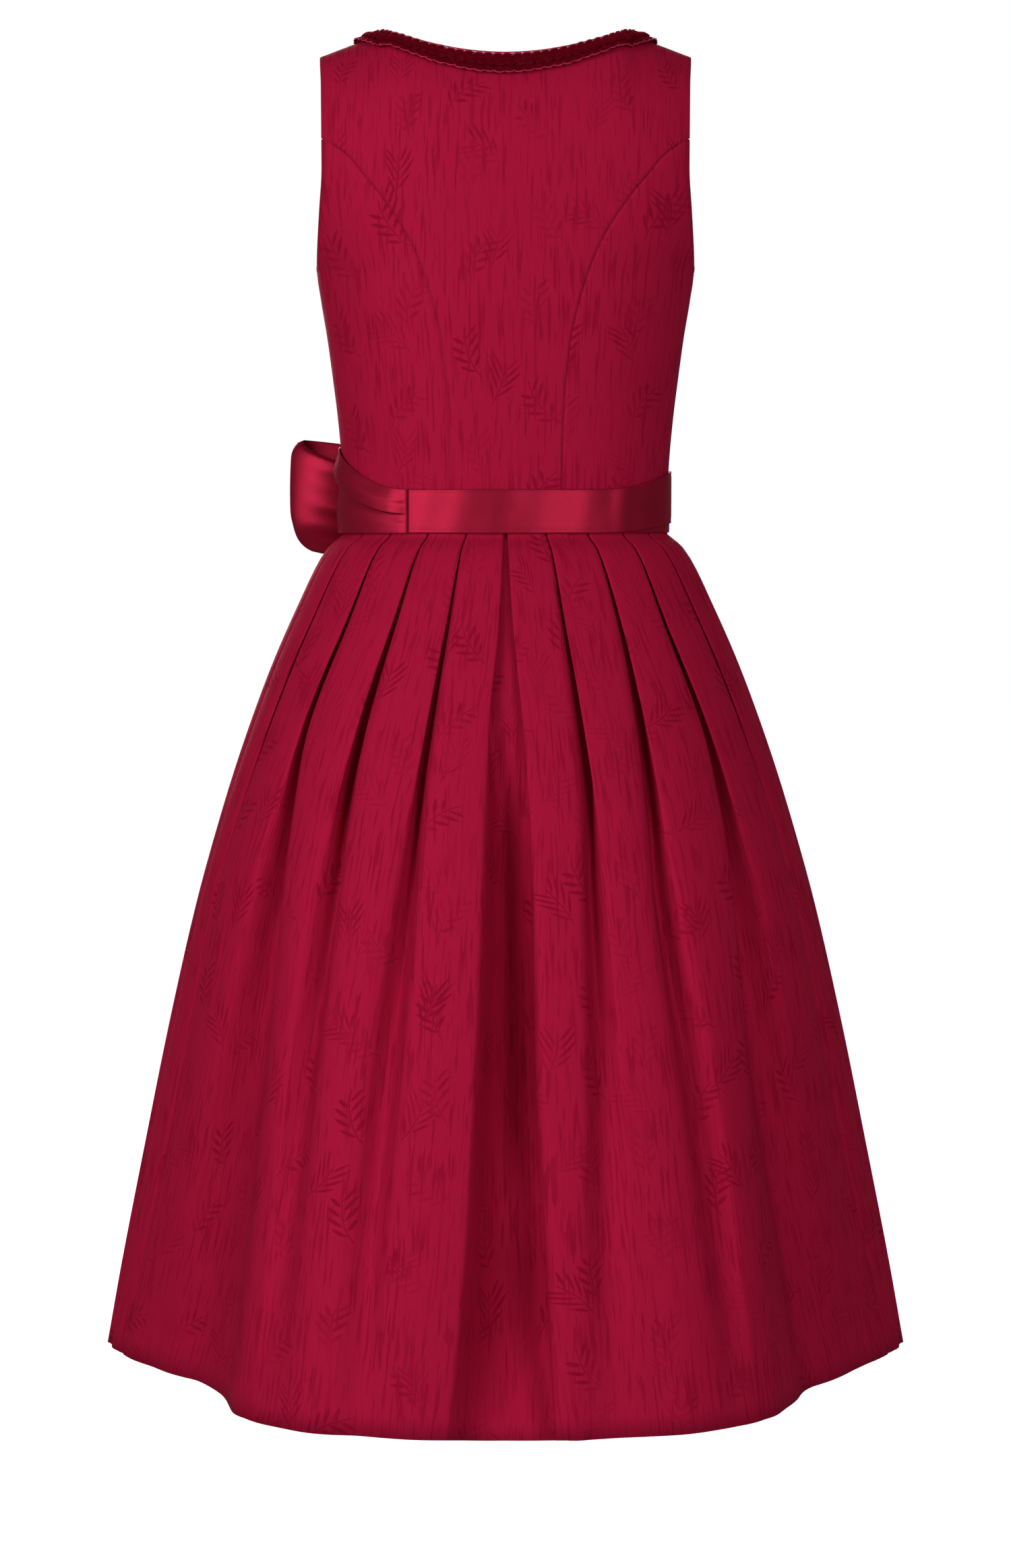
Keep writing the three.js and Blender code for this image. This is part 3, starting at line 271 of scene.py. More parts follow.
class Number:
    """The output of a shader node, with arithmetic."""

    def __init__(self, graph, socket):
        self.graph = graph
        self.socket = socket

    __add__ = __radd__ = operation("ADD")
    __sub__ = operation("SUBTRACT")
    __rsub__ = operation("SUBTRACT", swapped=True)
    __mul__ = operation("MULTIPLY")
    __truediv__ = operation("DIVIDE")
    max = operation("MAXIMUM")
    floor = operation("FLOOR")
    abs = operation("ABSOLUTE")
    sin = operation("SINE")
    cos = operation("COSINE")

    def step(self, low, high):
        """0 below low, 1 above high, and smooth between them."""
        ranges = {"Value": self, "From Min": low, "From Max": high}
        return self.graph.node("ShaderNodeMapRange", ranges, interpolation_type="SMOOTHSTEP")


class Graph:
    """A material and the nodes that make it."""

    def __init__(self, name, **sockets):
        self.material = bpy.data.materials.new(name)
        self.material.use_nodes = True
        self.tree = self.material.node_tree
        self.shader = self.tree.nodes["Principled BSDF"]
        for socket, value in sockets.items():
            self.set(socket.replace("_", " "), value)

    def set(self, socket, value):
        self.plug(self.shader.inputs[socket], value)

    def plug(self, socket, value):
        if isinstance(value, Number):
            self.tree.links.new(value.socket, socket)
        else:
            socket.default_value = value

    def node(self, kind, inputs, output=0, **settings):
        node = self.tree.nodes.new(kind)
        for name, value in settings.items():
            setattr(node, name, value)
        for name, value in inputs.items():
            self.plug(node.inputs[name], value)
        return Number(self, node.outputs[output])

    def math(self, operation, *values):
        return self.node("ShaderNodeMath", dict(enumerate(values)), operation=operation)

    def vector(self, x, y, z=0.0):
        return self.node("ShaderNodeCombineXYZ", {"X": x, "Y": y, "Z": z})

    def split(self, vector):
        parts = self.tree.nodes.new("ShaderNodeSeparateXYZ")
        self.plug(parts.inputs[0], vector)
        return [Number(self, socket) for socket in parts.outputs]

    def noise(self, x, y, z=0.0, detail=2.0):
        where = {"Vector": self.vector(x, y, z), "Scale": 1.0, "Detail": detail}
        return self.node("ShaderNodeTexNoise", where, output="Fac")

    def dice(self, x, y, z):
        """Three random numbers for a cell."""
        cell = {"Vector": self.vector(x, y, z)}
        return self.split(self.node("ShaderNodeTexWhiteNoise", cell, output="Color"))

    def speckle(self, scale, detail=2.0):
        """Noise in the piece's own coordinates, for what has no flat cloth."""
        where = self.node("ShaderNodeTexCoord", {}, output="Object")
        settings = {"Vector": where, "Scale": scale, "Detail": detail}
        return self.node("ShaderNodeTexNoise", settings, output="Fac")

    def blend(self, share, a, b):
        return self.node("ShaderNodeMix", {"Factor": share, 6: a, 7: b}, output=2, data_type="RGBA")

    def tint(self, tone, colour):
        self.set("Base Color", self.blend(tone, (0, 0, 0, 1), colour))

    def cloth(self):
        """Coordinates in the flat cloth, in millimetres."""
        u, v, _ = self.split(self.node("ShaderNodeUVMap", {}, uv_map="cloth"))
        return u / MM, v / MM

    def bump(self, height, millimetres):
        relief = {"Height": height, "Distance": millimetres * MM, "Strength": 1.0}
        self.set("Normal", self.node("ShaderNodeBump", relief))


def sprigs(g, u, v, cell, seed, spacing, reach, length, rise, bend):
    """One leaf sprig in each cell, at its own place and slant: pairs of leaflets along a bent stem."""
    width, height = cell
    column = (u / width).floor()
    shifted = v + column * (height * 0.37)
    row = (shifted / height).floor()
    a, b, c = g.dice(column, row, seed)
    x0 = u - (column + 0.5) * width + (a - 0.5) * (width * 0.3)
    y0 = shifted - (row + 0.5) * height + (b - 0.5) * (height * 0.3)
    turn = (c - 0.5) * 2.1
    x1 = x0 * turn.cos() - y0 * turn.sin()
    y1 = x0 * turn.sin() + y0 * turn.cos()
    x = x1 + y1 * y1 * bend
    side = x.step(-0.05, 0.05)
    ax = x.abs()
    t = (y1 - ax * rise) / spacing + side * 0.5
    leaflet = t.floor()
    root = (leaflet + 0.5) / (length / spacing)
    room = g.math("SQRT", (1 - root * root).max(0.0001))
    share = ax / (room * reach)
    wide = g.math("SINE", g.math("MINIMUM", share, 1.0) * math.pi) * 0.29 * root.abs().step(1.0, 0.9)
    across = (t - leaflet - 0.5).abs()
    leaves = (wide - across).step(-0.02, 0.1)
    stem = ax.step(0.6, 0.25) * (y1 / length).abs().step(1.15, 1.05)
    return leaves.max(stem)


def jacquard():
    g = Graph("jacquard", Specular_Tint=(1.0, 0.2, 0.3, 1.0))
    g.set("Specular IOR Level", 0.015)
    u, v = g.cloth()
    wander = g.noise(u / 60, v / 60, 3.0)
    u1 = u + (wander - 0.5) * 6
    leaves = sprigs(g, u1, v, (58, 70), 1.0, 7.6, 13, 19, 0.8, 0.011)
    fans = sprigs(g, u1 + 29, v + 41, (79, 91), 7.0, 6.8, 15, 15, 1.35, -0.008)
    streak = g.noise(u / 2.7, v / 40, 1.0, 2.0)
    patches = g.noise(u / 42, v / 58, 5.0)
    strokes = streak.step(0.53, 0.59) * (0.35 + patches.step(0.4, 0.56) * 0.5)
    dry = g.noise(u / 0.9, v / 26, 9.0)
    clear = 0.25 + g.noise(u / 95, v / 80, 12.0).step(0.42, 0.6) * 0.6
    motif = (leaves.max(fans) * clear).max(strokes * (0.35 + dry * 0.7))
    slub = g.noise(u / 0.85, v / 17, 2.0, 3.0)
    grain = g.noise(u / 0.3, v / 0.5, 4.0, 1.0)
    tone = 0.74 + slub * 0.36 + grain * 0.16 - motif * 0.12
    weave = g.blend(motif, (0.42, 0.0082, 0.043, 1), (0.31, 0.0042, 0.028, 1))
    g.tint(tone, weave)
    g.set("Roughness", 0.58 + motif * 0.14)
    g.set("Metallic", 0.12 - motif * 0.08)
    g.bump(slub * 0.5 + grain * 0.35 + motif * 0.6, 0.16)
    return g.material


def satin():
    g = Graph("satin", Metallic=0.64, Specular_Tint=(1.0, 0.35, 0.42, 1.0))
    g.set("Specular IOR Level", 0.3)
    u, v = g.cloth()
    ribs = g.noise(u / 1.1, v / 0.22, 1.0, 2.0)
    soft = g.noise(u / 30, v / 22, 4.0, 2.0)
    grain = g.noise(u / 0.35, v / 0.35, 6.0, 1.0)
    tone = 0.86 + soft * 0.14 + grain * 0.1
    g.tint(tone, (0.36, 0.009, 0.035, 1))
    g.set("Roughness", 0.33 + ribs * 0.1 + soft * 0.06)
    g.bump(ribs * 0.3 + soft * 1.4 + grain * 0.15, 0.22)
    return g.material


def velvet():
    g = Graph("velvet", Roughness=0.85, Sheen_Weight=0.7, Sheen_Roughness=0.35)
    g.set("Sheen Tint", (0.6, 0.002, 0.03, 1.0))
    g.set("Specular IOR Level", 0.03)
    pile, crush = g.speckle(1900.0), g.speckle(260.0)
    tone = 0.5 + pile * 0.5 + crush.step(0.45, 0.7) * 0.4
    g.tint(tone * 0.46, (0.26, 0.0015, 0.014, 1))
    g.bump(pile * 0.6 + crush, 0.25)
    return g.material


# A lighter copy of the satin for the trim's edges and cord: its brighter colour is painted sheen.
def piping_painted_sheen():
    g = Graph("piping_painted_sheen", Metallic=0.15, Roughness=0.38, Specular_Tint=(1.0, 0.4, 0.45, 1.0))
    twist = g.speckle(900.0)
    g.tint(0.55 + twist * 0.5, (0.62, 0.022, 0.085, 1))
    g.bump(twist, 0.1)
    return g.material


def thread():
    g = Graph("thread", Roughness=0.5, Metallic=0.1)
    ply = g.speckle(2500.0, 1.0)
    g.tint(0.6 + ply * 0.4, (0.22, 0.003, 0.02, 1))
    g.bump(ply, 0.1)
    return g.material


JACQUARD = jacquard()
SATIN = satin()
VELVET = velvet()
PIPING_PAINTED_SHEEN = piping_painted_sheen()
THREAD = thread()


# Meshes
def add(name, points, faces, material, uv=None):
    """A piece from its points and its faces, which are an array or a list of lists."""
    mesh = bpy.data.meshes.new(name)
    mesh.from_pydata((points * MM).tolist(), [], faces if isinstance(faces, list) else faces.tolist())
    mesh.polygons.foreach_set("use_smooth", [True] * len(mesh.polygons))
    if uv is not None:
        corners = np.empty(len(mesh.loops), np.int32)
        mesh.loops.foreach_get("vertex_index", corners)
        mesh.uv_layers.new(name="cloth").data.foreach_set("uv", (uv[corners] * MM).ravel())
    mesh.materials.append(material)
    mesh.update()
    piece = bpy.data.objects.new(name, mesh)
    bpy.context.scene.collection.objects.link(piece)
    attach(piece, "root")
    return piece


def grid_faces(m, n):
    corner = np.arange(m * n).reshape(m, n)
    quads = (corner[:-1, :-1], corner[:-1, 1:], corner[1:, 1:], corner[1:, :-1])
    return np.stack([q.ravel() for q in quads], axis=1)


def row_lengths(grid):
    """The length along each row, from its first point."""
    steps = np.linalg.norm(np.diff(grid, axis=1), axis=2)
    return np.concatenate([np.zeros((len(grid), 1)), np.cumsum(steps, axis=1)], axis=1)


def flat_lengths(grid):
    """Coordinates in the flat cloth, from the middle of the bottom row."""
    u = row_lengths(grid)
    u = u - u[:, [grid.shape[1] // 2]]
    v = row_lengths(grid.transpose(1, 0, 2)).mean(axis=0)
    return np.stack([u, np.broadcast_to(v[:, None], u.shape)], axis=2)


def walled(piece, thickness):
    """Thickens a sheet inwards from its outer side."""
    wall = piece.modifiers.new("wall", "SOLIDIFY")
    wall.thickness = thickness * MM
    wall.offset = -1


def cloth(name, grid, material, thickness=0.9, uv=None, shift=(0, 0)):
    """A sheet of cloth whose outer side is the grid; its width and length are worked out but not used."""
    faces = grid_faces(*grid.shape[:2])
    points = grid.reshape(-1, 3)
    a, b, c = (points[faces[:, k]] for k in range(3))
    normals = np.cross(b - a, c - a)
    outward = (normals * np.stack([a[:, 0], a[:, 1], a[:, 0] * 0], axis=1)).sum()
    if outward < 0:
        faces = faces[:, ::-1]
    flat = flat_lengths(grid) if uv is None else uv
    piece = add(name, points, faces, material, flat.reshape(-1, 2) + shift)
    walled(piece, thickness)
    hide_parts(name)
    width = row_lengths(grid)[:, -1].max() * MM
    length = row_lengths(grid.transpose(1, 0, 2))[:, -1].max() * MM


def at_length(values, s, x):
    return np.array([np.interp(x, s, values[:, k]) for k in range(3)])


def stitches(name, paths, pitch, material=THREAD, long=1.3, wide=0.28):
    """Short threads along paths, each path a list of points with their normals."""
    points, faces = [], []
    for path, normals in paths:
        s = row_lengths(path[None])[0]
        for at in np.arange(pitch / 2, s[-1], pitch):
            p, q = (at_length(path, s, x) for x in (at - long / 2, at + long / 2))
            n = unit(at_length(normals, s, at))
            side = unit(np.cross(q - p, n))
            first = len(points)
            for share, size in ((0, 0.35), (0.5, 1), (1, 0.35)):
                centre = mix(p, q, share) + n * wide * 0.3
                for turn in (0, 90, 180, 270):
                    points.append(centre + wide * size * (side * cosd(turn) + n * sind(turn) * 0.7))
            for ring in (0, 4):
                for k in range(4):
                    a, b = first + ring + k, first + ring + (k + 1) % 4
                    faces.append([a, b, b + 4, a + 4])
            faces.append([first, first + 1, first + 2, first + 3])
            faces.append([first + 11, first + 10, first + 9, first + 8])
    add(name, np.array(points), faces, material)


def tubes(name, paths, radius, material, sides=6):
    """Round cords along paths of points."""
    points, faces = [], []
    count = 0
    for path in paths:
        ahead = unit(np.gradient(path, axis=0))
        side = unit(np.cross(ahead, [0.31, 0.17, 0.93]))
        up = np.cross(ahead, side)
        k = len(path)
        ends = np.minimum(1, 0.25 + np.minimum(np.arange(k), np.arange(k)[::-1]) * 0.5)[:, None]
        for turn in range(sides):
            angle = 2 * math.pi * turn / sides
            points.append(path + radius * ends * (side * math.cos(angle) + up * math.sin(angle)))
        ring = count + np.arange(sides * k).reshape(sides, k)
        nxt = np.roll(ring, -1, axis=0)
        quads = np.stack([ring[:, :-1], ring[:, 1:], nxt[:, 1:], nxt[:, :-1]], axis=2).reshape(-1, 4)
        faces += quads.tolist()
        for j, order in ((0, 1), (k - 1, -1)):
            faces.append(ring[::order, j].tolist())
        count += sides * k
    add(name, np.concatenate(points), faces, material)


# Bodice panels
def coons(bottom, top, left, right, u, v):
    """A patch between four edges, given as arrays of pairs along u and v."""
    U, V = u[None, :, None], v[:, None, None]
    b, t, l, r = bottom[None], top[None], left[:, None], right[:, None]
    low = (1 - U) * (1 - V) * b[:, :1] + U * (1 - V) * b[:, -1:]
    corners = low + (1 - U) * V * t[:, :1] + U * V * t[:, -1:]
    return (1 - V) * b + V * t + (1 - U) * l + U * r - corners


def pairs(a, b):
    return np.stack(np.broadcast_arrays(a, b), axis=1).astype(float)


def edged(count, edge=0.006):
    """Shares from 0 to 1 with two more near each end, where a seam turns the cloth in."""
    inner = np.linspace(0, 1, count + 1)[1:-1]
    return np.concatenate([[0, edge, 3 * edge], inner, [1 - 3 * edge, 1 - edge, 1]])


SEAM_TURN, SEAM_TURN_REACH = 0.85, 0.7
ALLOWANCE, ALLOWANCE_BEHIND = 4, 0.9
GRAIN_RADIUS, SIDE_GRAIN_RADIUS = 165, 120
SHOULDER_STRETCH = 0.8


def tucked(p, n, seam_top=-100):
    """The cloth turned in along the seams at both sides, over about a millimetre, up to the seams' top."""
    s = row_lengths(p)
    depth = SEAM_TURN * smooth((-p[..., 2] - seam_top) / 3)
    from_edge = np.minimum(s, s[:, -1:] - s)
    return p - n * (np.exp(-((from_edge / SEAM_TURN_REACH) ** 2)) * depth)[..., None]


def with_allowance(p, n, column):
    """The panel with its seam allowance, which lies behind its neighbour along one edge."""
    edge, inner = (0, 4) if column == 0 else (-1, -5)
    away = unit(p[:, edge] - p[:, inner])
    width = ALLOWANCE * smooth((-p[:, edge, 2] - np.min(-p[:, edge, 2])) / 8) + 0.1
    beyond = p[:, edge] + away * width[:, None] - n[:, edge] * ALLOWANCE_BEHIND
    return np.concatenate([beyond[:, None], p] if column == 0 else [p, beyond[:, None]], axis=1)


def upright(p, surface, seam_top):
    """Flat coordinates with the grain upright: round the body from the centre, and up the cloth."""
    x, z = p[..., 0], p[..., 2]
    across = GRAIN_RADIUS * np.arcsin(x / GRAIN_RADIUS)
    forward = np.abs(surface(x, np.full(x.shape, -float(seam_top)))[..., 1]) - np.abs(p[..., 1])
    over = np.where(-z < seam_top, SHOULDER_STRETCH * np.maximum(forward, 0), 0)
    return np.stack([across, z + over], axis=2)


def upright_side(p):
    return np.stack([-SIDE_GRAIN_RADIUS * np.arctan2(p[..., 1], np.abs(p[..., 0])), p[..., 2]], axis=2)


def back_centre(u, v):
    drop = mix(SEAM_FOOT, TIP_DROP, v)
    below = drop >= BACK_SEAM_TOP - 0.1
    seam = back_seam_x(np.maximum(drop, BACK_SEAM_TOP)) - HALF_GAP
    meet = (armhole_x(BACK_SEAM_TOP) - seam) * np.exp(-np.maximum(0, BACK_SEAM_TOP - drop) / 1.5)
    x = np.where(below, seam, armhole_x(drop) - meet)
    top_x = mix(-TIP_X, TIP_X, u)
    waist = mix(-x[0], x[0], u)
    top = pairs(top_x, top_height(top_x))
    patch = coons(pairs(waist, -drop[0]), top, pairs(-x, -drop), pairs(x, -drop), u, v)
    patch[:, -1, 0] = np.where(below, seam, armhole_x(drop))
    patch[:, 0, 0] = -patch[:, -1, 0]
    return back_at(patch[..., 0], patch[..., 1])


def seam_angle(seam_x, half, drop):
    """How far round from the centre a curved seam lies."""
    return np.degrees(np.arcsin(np.minimum((seam_x(drop) + HALF_GAP) / half(drop), 0.9999)))


def side_back(u, v):
    drop = mix(SEAM_FOOT, BACK_SEAM_TOP, v)
    seam = seam_angle(back_seam_x, back_half, drop)
    side = 90
    start = math.asin((ARMHOLE_DROP - BACK_SEAM_TOP) / ARMHOLE_HALF)
    top_drop = ARMHOLE_DROP - ARMHOLE_HALF * np.sin(mix(start, -math.pi / 2, u))
    reach = armhole_reach(top_drop, ARMHOLE_BACK) / torso_back(top_drop)
    angle = np.maximum(np.degrees(np.arccos(np.clip(reach, 0, 1))), seam[-1])
    top = pairs(mix(angle, side, smooth((u - 0.8) / 0.2)), top_drop)
    top[0] = [seam[-1], drop[-1]]
    bottom = pairs(mix(seam[0], side, u), SEAM_FOOT)
    patch = coons(bottom, top, pairs(seam, drop), pairs(side, mix(SEAM_FOOT, UNDERARM, v)), u, v)
    return around_at(patch[..., 0], patch[..., 1])


def side_front(u, v):
    drop = mix(SEAM_FOOT, FRONT_SEAM_TOP, v)
    seam = 180 - seam_angle(front_seam_x, front_half, drop)
    side = 90
    end = math.asin((ARMHOLE_DROP - FRONT_SEAM_TOP) / ARMHOLE_HALF)
    top_drop = ARMHOLE_DROP - ARMHOLE_HALF * np.sin(mix(-math.pi / 2, end, u))
    reach = np.clip(armhole_reach(top_drop, ARMHOLE_FRONT) / torso_front(top_drop), 0, 1)
    angle = np.clip(180 - np.degrees(np.arccos(reach)), side, seam[-1])
    top = pairs(angle, top_drop)
    top[-1] = [seam[-1], drop[-1]]
    bottom = pairs(mix(side, seam[0], u), SEAM_FOOT)
    patch = coons(bottom, top, pairs(side, mix(SEAM_FOOT, UNDERARM, v)), pairs(seam, drop), u, v)
    return around_at(patch[..., 0], patch[..., 1])


FRONT_ROWS = [365.8, 318, 274, 240, 212, 184, 155, 126, 100, 78, 56, 38, 24, 16, 11, 10.5]
NECK_ROW = 5


def front_neck(t):
    a = (1 - t) * math.pi / 2
    x = NECK_HALF_WIDTH * np.maximum(np.cos(a), 0) ** 0.7
    z = NECK_RISE - (NECK_RISE + FRONT_NECK_DROP) * np.maximum(np.sin(a), 0) ** 0.85
    return pairs(np.maximum(x, HALF_GAP), z)


def front_centre(u, count):
    i = np.linspace(0, len(FRONT_ROWS) - 1, count)
    drop = np.interp(i, range(len(FRONT_ROWS)), FRONT_ROWS)
    last = len(FRONT_ROWS) - 1
    opening = front_neck(np.clip((i - NECK_ROW) / (last - NECK_ROW), 0, 1))
    closed = pairs(HALF_GAP, -mix(SEAM_FOOT, FRONT_NECK_DROP, np.minimum(i / NECK_ROW, 1)))
    inner = np.where((i <= NECK_ROW)[:, None], closed, opening)
    edge = pairs(np.where(drop >= FRONT_SEAM_TOP, front_seam_x(drop) - HALF_GAP, armhole_x(drop)), -drop)
    patch = mix(inner[:, None], edge[:, None], u[None, :, None])
    return front_at(patch[..., 0], patch[..., 1])


MIRROR = np.array([-1.0, 1.0, 1.0])


def both_sides(name, grid, uv, left, right):
    """The same panel on the wearer's left and right, each with its own stretch of cloth."""
    cloth(f"{name}_left", grid, JACQUARD, uv=uv, shift=left)
    cloth(f"{name}_right", grid * MIRROR, JACQUARD, uv=uv * [-1, 1], shift=right)


neck_share = 0.5 - NECK_HALF_WIDTH / TIP_X / 2
u = np.sort([*edged(48, 0.003), neck_share, 1 - neck_share])
seam_rows = [(SEAM_FOOT - drop) / (SEAM_FOOT - TIP_DROP) for drop in (BACK_SEAM_TOP, BACK_SEAM_TOP - 0.2)]
crest = [0.998, 0.995, 0.991, 0.985, 0.978, 0.969, 0.957]
v = np.sort([*np.linspace(0, 0.95, 78), 1, *seam_rows, *crest])
back, back_n = back_centre(u, v)
back[-1, np.abs(back[-1, :, 0]) > NECK_HALF_WIDTH, 1] += HALF_GAP
grid = tucked(back, back_n, BACK_SEAM_TOP + 4)
cloth("bodice_back", grid, JACQUARD, uv=upright(back, back_point, BACK_SEAM_TOP))
u, v = edged(20), np.linspace(0, 1, 81)
side_back_p, side_back_n = side_back(u, v)
grid = with_allowance(tucked(side_back_p, side_back_n, BACK_SEAM_TOP + 4), side_back_n, 0)
both_sides("bodice_side_back", grid, upright_side(grid), left=(180, 12), right=(-210, 40))
p, n = side_front(u, v)
grid = with_allowance(tucked(p, n), n, -1)
both_sides("bodice_side_front", grid, upright_side(grid), left=(330, 25), right=(-340, 5))
p, n = front_centre(u, 136)
p[-1, :, 1] -= HALF_GAP
both_sides("bodice_front", p, upright(p, front_point, FRONT_SEAM_TOP), left=(500, 30), right=(-520, 0))

# The strip down the centre front and its buttons
PLACKET_HALF, PLACKET_LIFT = 12, 1.9
PLACKET_FOOT, PLACKET_TOP = 351.5, 189
across = mix(-PLACKET_HALF, PLACKET_HALF, np.linspace(0, 1, 13))
x, drop = np.meshgrid(across, np.linspace(PLACKET_FOOT, PLACKET_TOP, 40))
p, n = front_at(x, -drop)
cloth("front_placket", p + n * PLACKET_LIFT, JACQUARD, shift=(620, 10))
BUTTON_RADIUS, BUTTON_DOME, BUTTON_FIRST, BUTTON_PITCH, BUTTON_COUNT = 6.2, 3.6, 200, 27.5, 6
profile = curve([0, 0.3, 0.6, 0.85, 1], [1, 0.95, 0.74, 0.4, 0])
for k in range(BUTTON_COUNT):
    drop = BUTTON_FIRST + k * BUTTON_PITCH
    (centre,), (out,) = front_at(np.array([0.0]), np.array([-float(drop)]))
    level = np.array([1.0, 0, 0])
    up = unit(np.cross(level, -out))
    t = np.linspace(0, 1, 15)
    r = np.concatenate([t, [0.98, 0.9, 0]]) * BUTTON_RADIUS
    h = np.concatenate([profile(t) * BUTTON_DOME * 0.8 + BUTTON_DOME * 0.2, [0.35, 0.0, 0.0]])
    turn = np.linspace(0, 360, 40, endpoint=False)
    ring = r[:, None, None] * (level * cosd(turn)[None, :, None] + up * sind(turn)[None, :, None])
    dome = centre + out * (PLACKET_LIFT + 0.5) + ring + out * h[:, None, None]
    corner = np.arange(len(r) * len(turn)).reshape(-1, len(turn))
    nxt = np.roll(corner, -1, axis=1)
    faces = np.stack([corner[:-1], nxt[:-1], nxt[1:], corner[1:]], axis=2).reshape(-1, 4)
    uv = np.stack([ring @ level, ring @ up], axis=2) + 40 * k
    piece = add(f"covered_button_{k + 1}", dome.reshape(-1, 3), faces, SATIN, uv.reshape(-1, 2))
    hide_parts(f"button_{k + 1}")

# Skirt: the folds of each quarter from the centre on. A fold's rows are the angle of its edge, its width
# in degrees, its depth and how far cloth runs under it, at each station down the skirt
STATIONS = [366, 450, 530, 590, 660, 790, 920, 1042]
SIDE_FOLDS = [
    ([61.5, 64, 67, 69.5, 72, 76, 80, 83],
     [1.3, 1.5, 1.6, 2, 2, 2, 2, 2],
     [3.2, 5, 5, 4, 3, 2, 1.5, 1],
     [11, 7, 3, 0.5, 0, 0, 0, 0]),
    ([77, 78.5, 80.5, 82, 83.4, 85.4, 87.2, 88.2],
     [1.6, 1.5, 1.4, 1.3, 1.2, 1, 0.8, 0.6],
     [3.2, 4, 3, 2, 1.5, 1, 0.8, 0.6],
     [10, 6, 2, 0.5, 0, 0, 0, 0]),
]
BACK_LEFT = [
    ([0.6, 1.8, 3.6, 3.7, 3.8, 4.4, 5.4, 7],
     [0.6, 1.8, 3.6, 3.7, 3.8, 4.4, 5.4, 7],
     [3.2, 8, 12, 16, 20, 23, 17, 6],
     [12, 9, 5, 1, 0, 0, 0, 0]),
    ([13.8, 15.6, 17.6, 19, 20.4, 22, 22.5, 22.5],
     [0.9, 1.6, 2.4, 3.2, 4.6, 6, 6, 6],
     [3.2, 8, 12, 14, 14, 11, 7, 1],
     [12, 9, 6, 2, 0, 0, 0, 0]),
    ([27.8, 30.9, 34.4, 36, 36.8, 37, 36.6, 36.5],
     [0.9, 1.8, 2.8, 4, 5.6, 6.6, 7, 7],
     [3.2, 8, 13, 15, 15, 11, 7, 1],
     [12, 9, 6, 3, 0, 0, 0, 0]),
    ([44.4, 47, 51.3, 52.5, 55, 61, 67, 71],
     [0.9, 1.6, 2.2, 5, 9.5, 18, 25, 29],
     [3.2, 8, 12, 16, 20, 18, 9, 0],
     [12, 9, 6, 2, 0, 0, 0, 0]),
    *SIDE_FOLDS,
]
BACK_RIGHT = [
    ([0.6, 2, 4, 4.8, 5.2, 5.3, 6.3, 7],
     [0.6, 2, 4, 4.8, 5.2, 5.3, 6.3, 7],
     [3.2, 8, 12, 16, 20, 23, 17, 6],
     [12, 9, 7, 5, 3, 1, 0, 0]),
    ([14.4, 15.8, 17.4, 18.2, 18.4, 18.6, 18.2, 18],
     [0.9, 1.6, 2.4, 3.2, 4.4, 6, 7, 7],
     [3.2, 8, 12, 14, 14, 11, 7, 1],
     [12, 9, 6, 3, 0, 0, 0, 0]),
    ([30.1, 31.9, 32.4, 32.6, 32.8, 34.4, 35.6, 36],
     [0.9, 1.8, 2.8, 4, 5.4, 6.6, 7, 7],
     [3.2, 8, 13, 15, 15, 12, 8, 1],
     [12, 9, 6, 3, 0, 0, 0, 0]),
    ([46.1, 47.4, 51.2, 53, 55.4, 58.5, 64, 68],
     [0.9, 1.6, 2.2, 4.6, 8.5, 15, 22, 26],
     [3.2, 8, 12, 15, 18, 16, 8, 0],
     [12, 9, 6, 3, 0, 0, 0, 0]),
    *SIDE_FOLDS,
]
SPREAD = np.array([0, 1, 2, 2.4, 2.8, 3.4, 4, 4.4])
GROOVE = [1.4, 2, 2.8, 3.2, 4, 5, 6, 7]
FRONT_FOLDS = []
for k, edge in enumerate([0.6, 15, 30, 45, 60, 75]):
    edges = edge + SPREAD * (1 if k < 5 else 0.8)
    FRONT_FOLDS.append((edges, edges if k == 0 else GROOVE, [2, 4, 6, 7, 8, 8, 7, 6], [0] * 8))
swell_left = curve(
    [0, 19, 24, 33, 38, 42, 45, 52, 59, 65, 73, 81, 90],
    [0, 4.5, 8, 6, -3, -14, -28, -42, -46, -37, -28, -13, 0],
)
swell_right = curve(
    [0, 19, 25, 33, 37, 44, 49, 54, 61, 73, 81, 90],
    [0, 4.5, 7, 6, 0, -15, -26, -38, -34, -28, -13, 0],
)
LAYER = 1.6
WAVE = [[-1, 0], [-0.8, -0.45], [-0.62, -0.85], [-0.48, -1]]
WAVE += [[-0.38, -0.97], [-0.27, -0.83], [-0.15, -0.52], [-0.03, -0.16]]

# The centre valley slopes gently from the picture's left, and the right panel's edge stands over it
VALLEY_SOFT = [[-1, -1], [-0.7, -0.95], [-0.42, -0.8], [-0.22, -0.56], [-0.08, -0.27], [0.04, -0.07]]
VALLEY_CRISP = [[-1, -0.95], [-0.6, -1.02], [-0.12, -1], [0.1, -0.86], [0.06, -0.46], [-0.1, -0.13]]
FOLD_DEEPER = 1.25
VALLEY_DEEPER, HEM_DEEPER = 2.3, 1.5


